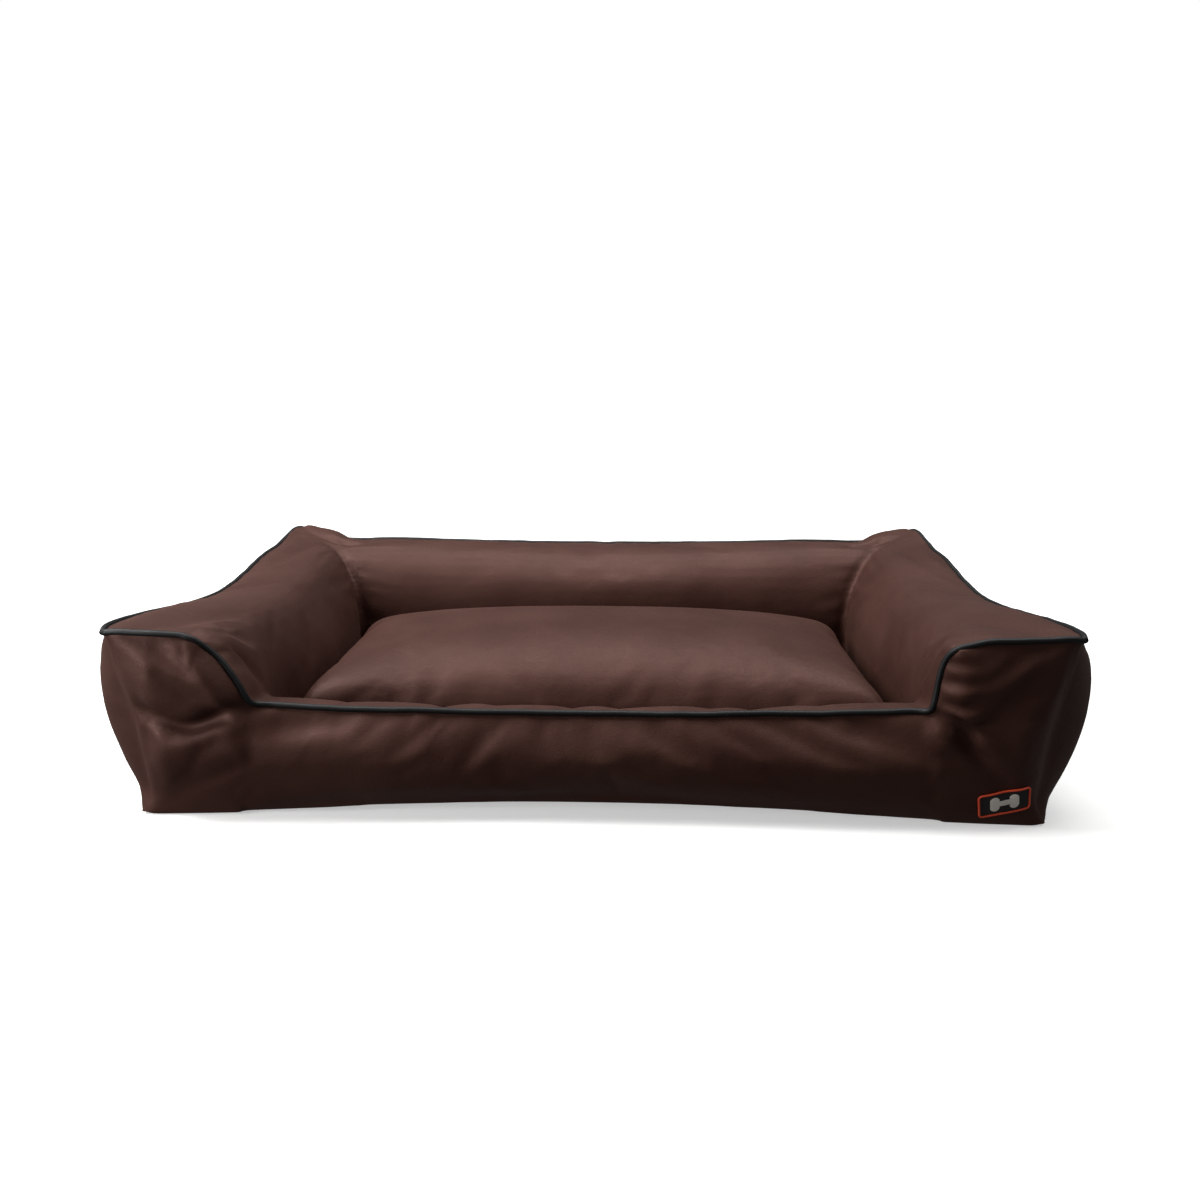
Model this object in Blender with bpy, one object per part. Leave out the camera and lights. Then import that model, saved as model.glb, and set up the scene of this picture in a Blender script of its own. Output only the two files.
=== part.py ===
"""Bolster pet bed: four stuffed walls with a low front entry, on a fabric base, round a loose zipped cushion.

Frame: metres, +Z up, origin at the middle of the underside, front wall towards -Y. Run in Blender.
"""

import math

import bmesh
import bpy
from mathutils import Vector

# Overall sizes
BED_WIDTH = 1.20  # outside, left to right, corner to corner
BED_DEPTH = 0.80  # outside, front to back, corner to corner
WALL_HEIGHT = 0.25  # top of the piping at the corners of the side and back walls
ENTRY_HEIGHT = 0.148  # top of the piping on the low front wall

# Stuffed walls
WALL_THICKNESS = 0.166  # side and back walls, at their widest
FRONT_THICKNESS = 0.14  # front wall, at its widest
SIDE_PULL_IN = 0.02  # how far the stuffing draws a side wall in, halfway along
FRONT_PULL_IN = 0.022
BACK_PULL_IN = 0.012
SIDE_SAG = 0.03  # how far the top seam dips halfway along
BACK_SAG = 0.02
ENTRY_SAG = 0.004
WALL_TUCK = 0.008  # how far the outer face runs in at the base seam
OUTER_EASE = 0.001  # how far the outer face stays behind the piping
SEAM_RECESS = 0.02  # how far the inner cover runs back under its bulge at the base seam
CROWN = (0.42, 1.0)  # points on the inner cover, as shares of the wall's thickness and height
SHOULDER = (0.87, 0.94)
WIDEST = (1.0, 0.66)
HAUNCH = (0.97, 0.32)

# Cloth and trim
FABRIC = 0.001
BASE_THICKNESS = 0.0015
GAP = 0.0003  # between pieces that touch
PIPING = 0.008  # diameter over the cover
PIPING_COVER = 0.0013
PIPING_CORNER = 0.0046  # radius of the piping's turn round a back corner
NOTCH_TURN = 0.01  # how far either side of a wing's foot the piping starts to turn
STUFFING_DOME = 0.006  # how far the stuffing swells into the end of a front wing

# Loose cushion
CUSHION_CROWN = 0.172  # top of the cushion over the floor
CUSHION_SEAM = 0.062  # height of the seam all round
CUSHION_SHOULDER = 0.66  # share of its height that the cushion gains close to its seam
CUSHION_EASE = 0.006  # clearance to the walls
CUSHION_BACK_EASE = 0.028  # clearance behind, where the zip puller swings
STUFFING_INSET = 0.0025  # from the cushion's covers
STUFFING_BACK_INSET = 0.0045  # from the zip tapes, which leaves room for the slider's inner plate

# Cushion zip
ZIP_LENGTH = 0.64
TAPE_WIDTH = 0.012
TAPE_THICKNESS = 0.0008
ZIP_SLOT = 0.0016  # between the two tapes, where the slider's neck runs
COIL_WIDTH = 0.0022
COIL_HEIGHT = 0.0015
STOP_LENGTH = 0.004
SLIDER_LENGTH = 0.010
SLIDER_WIDTH = 0.009
SLIDER_PLATE = 0.0012
SLIDER_NECK = 0.0009
BAIL_LENGTH = 0.0076
BAIL_WIDTH = 0.0016
BAIL_ROOM = 0.0021  # under the bail
BAIL_BAR = 0.001
PULLER_LENGTH = 0.018
PULLER_WIDTH = 0.0052
PULLER_THICKNESS = 0.0012
PULLER_EYE = 0.0053  # length of the open eye round the bail

# Woven label on the front, by the right corner
LABEL_WIDTH = 0.066
LABEL_HEIGHT = 0.034
LABEL_THICKNESS = 0.0008
LABEL_FROM_CORNER = 0.072  # from the bed's right edge to the label's middle
LABEL_MIDDLE_HEIGHT = 0.037
EMBLEM_LENGTH = 0.036
EMBLEM_SHANK = 0.0075
EMBLEM_KNOB = 0.0058  # radius of the bone emblem's four knobs
EMBLEM_THICKNESS = 0.0006

WALL_COLUMNS = 13
OUTER_ROWS = 5
INNER_ROWS = 13
SEAT = BASE_THICKNESS + GAP  # height where everything above the base starts


def clear_scene():
    """Removes whatever the file opened with."""
    for old in list(bpy.data.objects):
        bpy.data.objects.remove(old)


def finish_named(name, color, roughness, metallic=0.0):
    """A plain Principled material."""
    material = bpy.data.materials.new(name)
    material.use_nodes = True
    shader = material.node_tree.nodes["Principled BSDF"]
    shader.inputs["Base Color"].default_value = (*color, 1.0)
    shader.inputs["Roughness"].default_value = roughness
    shader.inputs["Metallic"].default_value = metallic
    return material


def add_object(name, bm, material, smooth_angle=40.0):
    """Links a bmesh to the scene as a named object, with faces facing out and smooth shading."""
    mesh = bpy.data.meshes.new(name)
    bm.to_mesh(mesh)
    bm.free()
    mesh.shade_smooth()
    mesh.set_sharp_from_angle(angle=math.radians(smooth_angle))
    mesh.materials.append(material)
    obj = bpy.data.objects.new(name, mesh)
    bpy.context.scene.collection.objects.link(obj)
    return obj


def panel(name, face, back, material):
    """A fabric panel between two grids of points: its outer face, and its back towards the stuffing."""
    bm = bmesh.new()
    front, rear = ([[bm.verts.new(point) for point in row] for row in grid] for grid in (face, back))
    for lower, upper in zip(front, front[1:]):
        for i in range(len(lower) - 1):
            bm.faces.new((lower[i], lower[i + 1], upper[i + 1], upper[i]))
    for lower, upper in zip(rear, rear[1:]):
        for i in range(len(lower) - 1):
            bm.faces.new((upper[i], upper[i + 1], lower[i + 1], lower[i]))
    rims = []
    for grid in (front, rear):
        left, right = [row[0] for row in grid[::-1]], [row[-1] for row in grid]
        rims.append(grid[0][:-1] + right[:-1] + grid[-1][:0:-1] + left[:-1])
    for i in range(len(rims[0])):
        bm.faces.new((rims[0][i - 1], rims[1][i - 1], rims[1][i], rims[0][i]))
    bmesh.ops.recalc_face_normals(bm, faces=bm.faces[:])
    return add_object(name, bm, material)


def cover(name, grid, material):
    """A cushion cover. Its outer face is the grid of points, and its thickness goes inwards."""
    bm = bmesh.new()
    verts = [[bm.verts.new(point) for point in row] for row in grid]
    for lower, upper in zip(verts, verts[1:]):
        for i in range(len(lower) - 1):
            bm.faces.new((lower[i], lower[i + 1], upper[i + 1], upper[i]))
    obj = add_object(name, bm, material)
    solidify = obj.modifiers.new("thickness", "SOLIDIFY")
    solidify.thickness = FABRIC
    solidify.offset = -1.0
    return obj


def loft(name, rings, tips, material):
    """A closed solid through rings of points, each end closed by a fan to its tip."""
    bm = bmesh.new()
    verts = [[bm.verts.new(point) for point in ring] for ring in rings]
    count = len(verts[0])
    for near, far in zip(verts, verts[1:]):
        for i in range(count):
            j = (i + 1) % count
            bm.faces.new((near[i], far[i], far[j], near[j]))
    for ring, tip in zip((verts[0], verts[-1]), tips):
        middle = bm.verts.new(tip)
        for i in range(count):
            bm.faces.new((ring[i], ring[(i + 1) % count], middle))
    bmesh.ops.recalc_face_normals(bm, faces=bm.faces[:])
    return add_object(name, bm, material)


def tube(name, path, radius, material, bore=0.0, sides=8):
    """A tube along a path of points, solid or with a bore that is open at both ends."""
    bm = bmesh.new()
    steps = [(b - a).normalized() for a, b in zip(path, path[1:])]
    across = steps[0].orthogonal().normalized()
    walls = [[], []]
    for i, point in enumerate(path):
        ahead = (steps[max(i - 1, 0)] + steps[min(i, len(steps) - 1)]).normalized()
        across = (across - ahead * across.dot(ahead)).normalized()
        up = ahead.cross(across)
        for wall, size in zip(walls, (radius, bore)):
            turns = [2 * math.pi * k / sides for k in range(sides)]
            wall.append(
                [bm.verts.new(point + (across * math.cos(a) + up * math.sin(a)) * size) for a in turns]
                if size
                else None
            )
    for wall in walls:
        for near, far in zip(wall, wall[1:]):
            for k in range(sides if near else 0):
                j = (k + 1) % sides
                bm.faces.new((near[k], near[j], far[j], far[k]))
    for outer, inner in ((walls[0][0], walls[1][0]), (walls[0][-1], walls[1][-1])):
        if not inner:
            bm.faces.new(outer)
            continue
        for k in range(sides):
            j = (k + 1) % sides
            bm.faces.new((outer[k], outer[j], inner[j], inner[k]))
    bmesh.ops.recalc_face_normals(bm, faces=bm.faces[:])
    return add_object(name, bm, material)


def add_box(bm, low, high):
    """Adds an axis-aligned box between two corners to a bmesh."""
    low, high = Vector(low), Vector(high)
    made = bmesh.ops.create_cube(bm, size=1.0)["verts"]
    for vert in made:
        vert.co = Vector([lo + (c + 0.5) * (hi - lo) for c, lo, hi in zip(vert.co, low, high)])


def boxes(name, corners, material):
    """One solid made of overlapping boxes, each given by its lowest and highest corners."""
    shapes = []
    for low, high in corners:
        bm = bmesh.new()
        add_box(bm, low, high)
        shapes.append(add_object(name if not shapes else f"{name}_join_{len(shapes)}", bm, material, 30.0))
    for helper in shapes[1:]:
        helper.hide_render = True
        helper.display_type = "WIRE"
        join = shapes[0].modifiers.new("join", "BOOLEAN")
        join.operation = "UNION"
        join.object = helper
    return shapes[0]


def front_sheet(name, outline, material, thickness, lift, cuts, levels):
    """A sheet on the front wall's outer face: an outline in X and Z, cut at each X and Z, laid on the face.

    The sheet's back stands off the face by lift, and its thickness goes outwards from there.
    """
    bm = bmesh.new()
    face = bm.faces.new([bm.verts.new((x, 0.0, z)) for x, z in outline])
    made = bmesh.ops.extrude_face_region(bm, geom=[face])["geom"]
    for vert in made:
        if isinstance(vert, bmesh.types.BMVert):
            vert.co.y = -thickness
    planes = [((x, 0, 0), (1, 0, 0)) for x in cuts] + [((0, 0, z), (0, 0, 1)) for z in levels]
    for place, normal in planes:
        whole = bm.verts[:] + bm.edges[:] + bm.faces[:]
        bmesh.ops.bisect_plane(bm, geom=whole, plane_co=place, plane_no=normal, dist=1e-6)
    bmesh.ops.triangulate(bm, faces=bm.faces[:])
    for vert in bm.verts:
        face_y = -BED_DEPTH / 2 + outer_inset(vert.co.z) + FRONT.pulled(vert.co.x + BED_WIDTH / 2)
        vert.co.y += face_y - lift
    bmesh.ops.recalc_face_normals(bm, faces=bm.faces[:])
    return add_object(name, bm, material, 30.0)


def blend(low, high, share):
    """The value a share of the way from low to high."""
    return low + (high - low) * share


def smooth_line(points, share):
    """The point at a share of a smooth line through points in the plane."""
    spans = len(points) - 1
    span = min(int(share * spans), spans - 1)
    t = share * spans - span
    near = [Vector(points[min(max(span + i, 0), spans)]) for i in (-1, 0, 1, 2)]
    turn = near[3] - near[0] + 3 * (near[1] - near[2])
    bend = 2 * near[0] - 5 * near[1] + 4 * near[2] - near[3]
    return tuple(near[1] + (near[2] - near[0]) * (t / 2) + bend * (t**2 / 2) + turn * (t**3 / 2))


def outer_inset(z):
    """How far the outer face lies inside the bed's outline at a height."""
    return OUTER_EASE + WALL_TUCK * max(0.0, 1.0 - z / WALL_HEIGHT) ** 2


def inner_profile(share, thickness, top):
    """Inset and height of a wall's inner cover, from the piping (0) over the crown to the base seam (1)."""
    first = (PIPING + 2 * GAP, top - PIPING / 2)
    last = (thickness - SEAM_RECESS, SEAT)
    middle = [(thickness * wide, top * tall) for wide, tall in (CROWN, SHOULDER, WIDEST, HAUNCH)]
    return smooth_line([first, *middle, last], share)


def share_at(z):
    """Share of the way down a side wall's inner cover where it has this height, at the wall's front end."""
    low, high = 0.2, 1.0
    for _ in range(40):
        middle = (low + high) / 2
        if inner_profile(middle, WALL_THICKNESS, WALL_HEIGHT)[1] > z:
            low = middle
        else:
            high = middle
    return low


class Wall:
    """A stuffed wall between two outer corners, seen from above with the bed's inside on the left."""

    def __init__(self, start, end, thickness, height, pull_in, sag):
        self.start, end = Vector((*start, 0.0)), Vector((*end, 0.0))
        self.length = (end - self.start).length
        self.along = (end - self.start).normalized()
        self.inward = Vector((-self.along.y, self.along.x, 0.0))
        self.thickness, self.height = thickness, height
        self.pull_in, self.sag = pull_in, sag

    def swell(self, distance):
        """0 at the corners and 1 halfway along."""
        return math.sin(math.pi * min(max(distance / self.length, 0.0), 1.0)) ** 2

    def pulled(self, distance):
        """How far the wall is drawn in at this distance from its start."""
        return self.pull_in * self.swell(distance)

    def top(self, distance):
        """Height of the piping's top at this distance from the wall's start."""
        return self.height - self.sag * self.swell(distance)

    def place(self, distance, inset, z):
        """A point on the wall, from its distance along, its inset from the outer face and its height."""
        flat = self.start + self.along * distance + self.inward * (inset + self.pulled(distance))
        return Vector((flat.x, flat.y, z))

    def mitre(self, inset, z):
        """Distance from a corner at which the wall ends against its neighbour on the diagonal."""
        distance = inset
        for _ in range(8):
            distance = inset + self.pulled(distance)
        return distance + GAP

    def rows(self, section, trims):
        """Points along the wall for each point of its section, trimmed at both ends."""
        columns = []
        for column in range(WALL_COLUMNS):
            share = column / (WALL_COLUMNS - 1)
            points = []
            for inset, z in section(self.top(share * self.length)):
                near, far = trims[0](inset, z), self.length - trims[1](inset, z)
                points.append(self.place(blend(near, far, share), inset, z))
            columns.append(points)
        return [list(row) for row in zip(*columns)]

    def panel(self, name, count, profile, trims, material):
        """A fabric panel along the wall, with a row of points at each step of its profile."""

        def line(top):
            return [profile(i / count, top) for i in range(count + 1)]

        face = self.rows(line, trims)
        back = self.rows(lambda top: moved_right(line(top), FABRIC), trims)
        return panel(name, face, back, material)

    def outer(self, share, top):
        """Inset and height of the outer cover, from the base seam (0) up to the piping (1)."""
        z = blend(SEAT, top - PIPING - GAP, share)
        return outer_inset(z), z

    def inner(self, share, top):
        """Inset and height of this wall's inner cover."""
        return inner_profile(share, self.thickness, top)

    def stuffing_loop(self, top):
        """Inset and height of points round the stuffing's section."""
        loop = [self.outer(i / OUTER_ROWS, top) for i in range(OUTER_ROWS + 1)]
        loop += [(PIPING + 2 * GAP, loop[-1][1])]
        loop += [self.inner(i / INNER_ROWS, top) for i in range(1, INNER_ROWS + 1)]
        line = moved_right(loop, FABRIC + GAP)
        return [lowered(line[0], line[1])] + line[1:-1] + [lowered(line[-1], line[-2])]

    def stuffing(self, name, trims, domes, material):
        """The wall's stuffing, trimmed at both ends and swelling past each end by its dome."""
        rings = list(zip(*self.rows(self.stuffing_loop, trims)))
        middles = [sum(ring, Vector()) / len(ring) for ring in (rings[0], rings[-1])]
        tips = (middles[0] - self.along * domes[0], middles[1] + self.along * domes[1])
        return loft(name, rings, tips, material)


def moved_right(line, by):
    """An open line in the plane, moved to its right by a distance."""
    made = []
    for i, point in enumerate(line):
        here = Vector(point)
        ends = [Vector(line[max(i - 1, 0)]), here, Vector(line[min(i + 1, len(line) - 1)])]
        steps = [(b - a).normalized() for a, b in zip(ends, ends[1:]) if (b - a).length > 0]
        ahead = sum(steps, Vector((0.0, 0.0))).normalized()
        right = Vector((ahead.y, -ahead.x))
        widen = max(0.5, right.dot(Vector((steps[-1].y, -steps[-1].x))))
        made.append(tuple(here + right * (by / widen)))
    return made


def lowered(point, above):
    """The point where the line from the point above, through this point, reaches the base."""
    slope = (point[0] - above[0]) / (point[1] - above[1])
    return point[0] + (SEAT - point[1]) * slope, SEAT


LEFT_X, RIGHT_X = -BED_WIDTH / 2, BED_WIDTH / 2
FRONT_Y, BACK_Y = -BED_DEPTH / 2, BED_DEPTH / 2
FRONT = Wall(
    (LEFT_X, FRONT_Y), (RIGHT_X, FRONT_Y), FRONT_THICKNESS, ENTRY_HEIGHT, FRONT_PULL_IN, ENTRY_SAG
)
RIGHT = Wall(
    (RIGHT_X, FRONT_Y), (RIGHT_X, BACK_Y), WALL_THICKNESS, WALL_HEIGHT, SIDE_PULL_IN, SIDE_SAG
)
BACK = Wall((RIGHT_X, BACK_Y), (LEFT_X, BACK_Y), WALL_THICKNESS, WALL_HEIGHT, BACK_PULL_IN, BACK_SAG)
LEFT = Wall((LEFT_X, BACK_Y), (LEFT_X, FRONT_Y), WALL_THICKNESS, WALL_HEIGHT, SIDE_PULL_IN, SIDE_SAG)


def behind_front(inset, z):
    """Distance from a front corner at which a side wall's inner parts start, behind the front piping."""
    return outer_inset(z) + FRONT.pulled(inset) + PIPING + 2 * GAP


def behind_sheet(inset, z):
    """Distance from a front corner at which a side wall's outer panel starts, behind the front panel."""
    return outer_inset(z) + FRONT.pulled(inset) + FABRIC + 2 * GAP


def beside_side(inset, z):
    """Distance from a front corner at which the front wall's inner panel starts, against the side wall."""
    reach = inner_profile(share_at(z), WALL_THICKNESS, WALL_HEIGHT)[0]
    return reach + LEFT.pulled(inset) + 4 * GAP


def past_side(_inset, _z):
    """Distance from a front corner at which the front wall's stuffing starts, past the side wall's bulge."""
    return WALL_THICKNESS + LEFT.pulled(FRONT_THICKNESS + FRONT_PULL_IN) + 4 * GAP


def wing_edge(inset):
    """X and Z of points along a right-hand wing's edge, from its outer corner down to the entry.

    The edge follows the side wall's section, and lies inside it by the inset.
    """
    last = share_at(ENTRY_HEIGHT - PIPING / 2)
    steps = 9
    profile = [inner_profile(last * i / steps, WALL_THICKNESS, WALL_HEIGHT) for i in range(steps + 1)]
    made = []
    for i, point in enumerate(profile):
        here = Vector(point)
        onward = (Vector(profile[min(i + 1, steps)]) - Vector(profile[max(i - 1, 0)])).normalized()
        moved = here + Vector((onward.y, -onward.x)) * inset
        made.append((RIGHT_X - moved.x, moved.y))
    return made


def entry_columns(corner):
    """X of points along the entry, between the wings' feet, from right to left."""
    cuts = [blend(RIGHT_X, LEFT_X, i / (WALL_COLUMNS - 1)) for i in range(WALL_COLUMNS)]
    return [x for x in cuts if abs(x) < corner - NOTCH_TURN]


def front_outline():
    """Outline of the U-shaped front panel in X and Z, counter-clockwise."""
    inset = PIPING / 2 + GAP
    top = WALL_HEIGHT - PIPING - GAP
    levels = [blend(SEAT, top, i / OUTER_ROWS) for i in range(OUTER_ROWS + 1)]
    right = [(RIGHT_X - outer_inset(z) - GAP, z) for z in levels]
    wing = [point for point in wing_edge(inset)[1:] if point[1] > ENTRY_HEIGHT]
    notch = wing_edge(inset)[-1][0]
    under = PIPING + 2 * GAP
    right += wing + [(notch, FRONT.top(notch - LEFT_X) - under)]
    entry = [(x, FRONT.top(x - LEFT_X) - under) for x in entry_columns(notch)]
    return right + entry + [(-x, z) for x, z in reversed(right)]


def front_piping_path():
    """Centreline of the front piping: over the left wing, along the entry and over the right wing."""
    wing = [(RIGHT_X - PIPING / 8, WALL_HEIGHT - PIPING / 2)] + wing_edge(0.0)
    foot = Vector((wing[-1][0], FRONT.top(wing[-1][0] - LEFT_X) - PIPING / 2))
    above = foot + (Vector(wing[-2]) - foot).normalized() * NOTCH_TURN
    inside = foot - Vector((NOTCH_TURN, 0.0))
    wing = [point for point in wing[:-1] if point[1] > above.y + NOTCH_TURN / 2]
    wing += [tuple(above.lerp(foot, t).lerp(foot.lerp(inside, t), t)) for t in (0.0, 0.3, 0.7, 1.0)]
    flat = wing + [(x, FRONT.top(x - LEFT_X) - PIPING / 2) for x in entry_columns(foot.x)]
    flat += [(-x, z) for x, z in reversed(wing)]
    return [Vector((x, FRONT_Y + PIPING / 2 + FRONT.pulled(x - LEFT_X), z)) for x, z in flat]


def rim_piping_path():
    """Centreline of the rim piping: from the front right corner round the back to the front left corner."""
    turn = PIPING / 2 + PIPING_CORNER
    start = PIPING + 2 * GAP
    path = []
    for wall, near, far in ((RIGHT, start, turn), (BACK, turn, turn), (LEFT, turn, start)):
        for i in range(WALL_COLUMNS):
            distance = blend(near, wall.length - far, i / (WALL_COLUMNS - 1))
            path.append(wall.place(distance, PIPING / 2, wall.top(distance) - PIPING / 2))
        if wall is not LEFT:
            corner = wall.start + wall.along * wall.length
            middle = corner - wall.along * turn + wall.inward * turn
            for angle in (30, 60):
                ahead = wall.along * math.sin(math.radians(angle))
                side = wall.inward * -math.cos(math.radians(angle))
                flat = middle + (ahead + side) * PIPING_CORNER
                path.append(Vector((flat.x, flat.y, wall.height - PIPING / 2)))
    return path


def make_base(material):
    """The base sheet: one flat piece under the walls and the cushion, cut to the walls' bottom line."""
    bm = bmesh.new()
    outline = []
    tuck = outer_inset(0.0)
    for wall in (FRONT, RIGHT, BACK, LEFT):
        for i in range(WALL_COLUMNS - 1):
            distance = blend(wall.mitre(tuck, 0), wall.length - wall.mitre(tuck, 0), i / (WALL_COLUMNS - 1))
            outline.append(wall.place(distance, tuck, 0.0))
        outline.append(wall.place(wall.length - wall.mitre(tuck, 0), tuck, 0.0))
    sheet = bm.faces.new([bm.verts.new(point) for point in outline])
    for item in bmesh.ops.extrude_face_region(bm, geom=[sheet])["geom"]:
        if isinstance(item, bmesh.types.BMVert):
            item.co.z = BASE_THICKNESS
    bmesh.ops.recalc_face_normals(bm, faces=bm.faces[:])
    return add_object("base_sheet", bm, material, 30.0)


def make_walls(cloth, stuffing):
    """Outer panel, inner panel and stuffing of each wall. The front's outer panel is the U-shaped one."""
    plans = {
        "left": (LEFT, (LEFT.mitre, behind_front), (0.0, STUFFING_DOME)),
        "right": (RIGHT, (behind_front, RIGHT.mitre), (STUFFING_DOME, 0.0)),
        "back": (BACK, (BACK.mitre, BACK.mitre), (0.0, 0.0)),
        "front": (FRONT, (beside_side, beside_side), (0.0, 0.0)),
    }
    for side, (wall, trims, domes) in plans.items():
        if wall is not FRONT:
            ends = tuple(behind_sheet if trim is behind_front else trim for trim in trims)
            wall.panel(f"{side}_outer_panel", OUTER_ROWS, wall.outer, ends, cloth)
        wall.panel(f"{side}_inner_panel", INNER_ROWS, wall.inner, trims, cloth)
        inside = (past_side, past_side) if wall is FRONT else trims
        wall.stuffing(f"{side}_wall_stuffing", inside, domes, stuffing)
    cuts = [blend(LEFT_X, RIGHT_X, i / (WALL_COLUMNS - 1)) for i in range(1, WALL_COLUMNS - 1)]
    levels = [FRONT.outer(i / OUTER_ROWS, ENTRY_HEIGHT)[1] for i in range(1, OUTER_ROWS)]
    levels += [FRONT.outer(i / OUTER_ROWS, WALL_HEIGHT)[1] for i in range(3, OUTER_ROWS)]
    front_sheet("front_outer_panel", front_outline(), cloth, FABRIC, -FABRIC, cuts, levels)


def make_piping(cover, cord):
    """Two runs of piping, each a cord in a folded cover: round the rim, and over the front."""
    core = PIPING / 2 - PIPING_COVER
    for run, path in (("rim", rim_piping_path()), ("front", front_piping_path())):
        tube(f"{run}_piping_cover", path, PIPING / 2, cover, bore=core)
        tube(f"{run}_piping_cord", path, core - GAP, cord)


def make_label(patch, thread):
    """A plain woven label with a bone emblem, sewn to the front panel."""
    middle = RIGHT_X - LABEL_FROM_CORNER
    half, tall = LABEL_WIDTH / 2, LABEL_HEIGHT / 2
    low, high = LABEL_MIDDLE_HEIGHT - tall, LABEL_MIDDLE_HEIGHT + tall
    outline = [(middle - half, low), (middle + half, low), (middle + half, high), (middle - half, high)]
    cuts = [blend(middle - half, middle + half, i / 4) for i in range(1, 4)]
    front_sheet("label_patch", outline, patch, LABEL_THICKNESS, GAP, cuts, [])
    outline = [(middle + x, LABEL_MIDDLE_HEIGHT + z) for x, z in bone_outline()]
    front_sheet("label_emblem", outline, thread, EMBLEM_THICKNESS, 2 * GAP + LABEL_THICKNESS, [], [])


def bone_outline():
    """A bone lying along X round the origin: a shank with two round knobs at each end, counter-clockwise."""
    end = EMBLEM_LENGTH / 2 - EMBLEM_KNOB
    lift = EMBLEM_KNOB * 0.8
    start = math.degrees(math.asin((lift - EMBLEM_SHANK / 2) / EMBLEM_KNOB))
    arc = [blend(180 + start, 360 + math.degrees(math.asin(0.8)), i / 7) for i in range(8)]
    lower = [
        (end + EMBLEM_KNOB * math.cos(math.radians(a)), -lift + EMBLEM_KNOB * math.sin(math.radians(a)))
        for a in arc
    ]
    right = lower[:-1] + [(lower[-1][0], 0.0)] + [(x, -z) for x, z in reversed(lower[:-1])]
    return right + [(-x, -z) for x, z in right]


def cushion_seam_lift(x):
    """Half the height between the covers' back edges: the zip's tapes along the zip, closed at its ends."""
    ramp = 0.03
    open_half = FABRIC + TAPE_WIDTH + ZIP_SLOT / 2 + GAP
    beyond = abs(x) - ZIP_LENGTH / 2 - GAP
    return FABRIC + max(0.0, open_half - FABRIC) * min(1.0, max(0.0, 1.0 - beyond / ramp))


CUSHION_FRONT_Y = FRONT_Y + FRONT_THICKNESS + CUSHION_EASE
CUSHION_BACK_Y = BACK_Y - WALL_THICKNESS - BACK_PULL_IN - CUSHION_BACK_EASE


def cushion_point(a, b, side, bottom_rest):
    """A point on the cushion: a and b run from -1 to 1 across and back, side is 1 on top and -1 beneath."""
    back = CUSHION_BACK_Y
    y = blend(CUSHION_FRONT_Y, back, (b + 1) / 2)
    x = a * (RIGHT_X - WALL_THICKNESS - CUSHION_EASE - RIGHT.pulled(y - FRONT_Y))
    front = CUSHION_FRONT_Y + FRONT.pulled(x - LEFT_X)
    y = blend(front, back, (b + 1) / 2)
    lift = blend(FABRIC, cushion_seam_lift(x), max(0.0, b) ** 8)
    if side > 0:
        shoulder = ((1 - abs(a) ** 18) * (1 - abs(b) ** 14)) ** 0.4
        dome = (1 - abs(a) ** 2.4) * (1 - abs(b) ** 2.4)
        swell = blend(dome, shoulder, CUSHION_SHOULDER)
        return Vector((x, y, CUSHION_SEAM + max(lift, swell * (CUSHION_CROWN - CUSHION_SEAM))))
    swell = ((1 - abs(a) ** 9) * (1 - abs(b) ** 9)) ** 0.5
    return Vector((x, y, CUSHION_SEAM - max(lift, swell * (CUSHION_SEAM - bottom_rest))))


def cushion_marks(count, exact=()):
    """Marks from -1 to 1, closer together towards the ends, with each exact mark in place of its nearest."""
    marks = [math.sin(math.pi / 2 * blend(-1, 1, i / count)) for i in range(count + 1)]
    for mark in exact:
        nearest = min(range(1, count), key=lambda i: abs(marks[i] - mark))
        marks[nearest] = mark
    return sorted(marks)


def make_cushion(cloth, stuffing):
    """The loose cushion: top cover, bottom cover and stuffing. The covers part at the back for the zip."""
    reach = RIGHT_X - WALL_THICKNESS - CUSHION_EASE - RIGHT.pulled(CUSHION_BACK_Y - FRONT_Y)
    zip_end = (ZIP_LENGTH / 2 + GAP) / reach
    across = cushion_marks(18, (-zip_end, zip_end))
    deep = cushion_marks(12)
    rest = SEAT + GAP
    top = [[cushion_point(a, b, 1, rest) for a in across] for b in deep]
    cover("cushion_top_cover", top, cloth)
    under = [[cushion_point(a, b, -1, rest) for a in reversed(across)] for b in deep]
    cover("cushion_bottom_cover", under, cloth)
    bm = bmesh.new()
    layers = {}
    for side in (1, -1):
        for i, a in enumerate(across):
            for j, b in enumerate(deep):
                rim = i in (0, len(across) - 1) or j in (0, len(deep) - 1)
                if rim and side < 0:
                    layers[side, i, j] = layers[1, i, j]
                    continue
                point = cushion_point(a, b, side, rest)
                if rim:
                    point.z = CUSHION_SEAM
                layers[side, i, j] = bm.verts.new(point)
    for side in (1, -1):
        for i in range(len(across) - 1):
            for j in range(len(deep) - 1):
                ring = ((i, j), (i + 1, j), (i + 1, j + 1), (i, j + 1))
                bm.faces.new([layers[side, *corner] for corner in ring][::side])
    bm.normal_update()
    moves = {vert: vert.normal * -STUFFING_INSET for vert in bm.verts}
    for vert, move in moves.items():
        vert.co += move
        vert.co.y = min(vert.co.y, CUSHION_BACK_Y - STUFFING_BACK_INSET)
    return add_object("cushion_stuffing", bm, stuffing)


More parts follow.
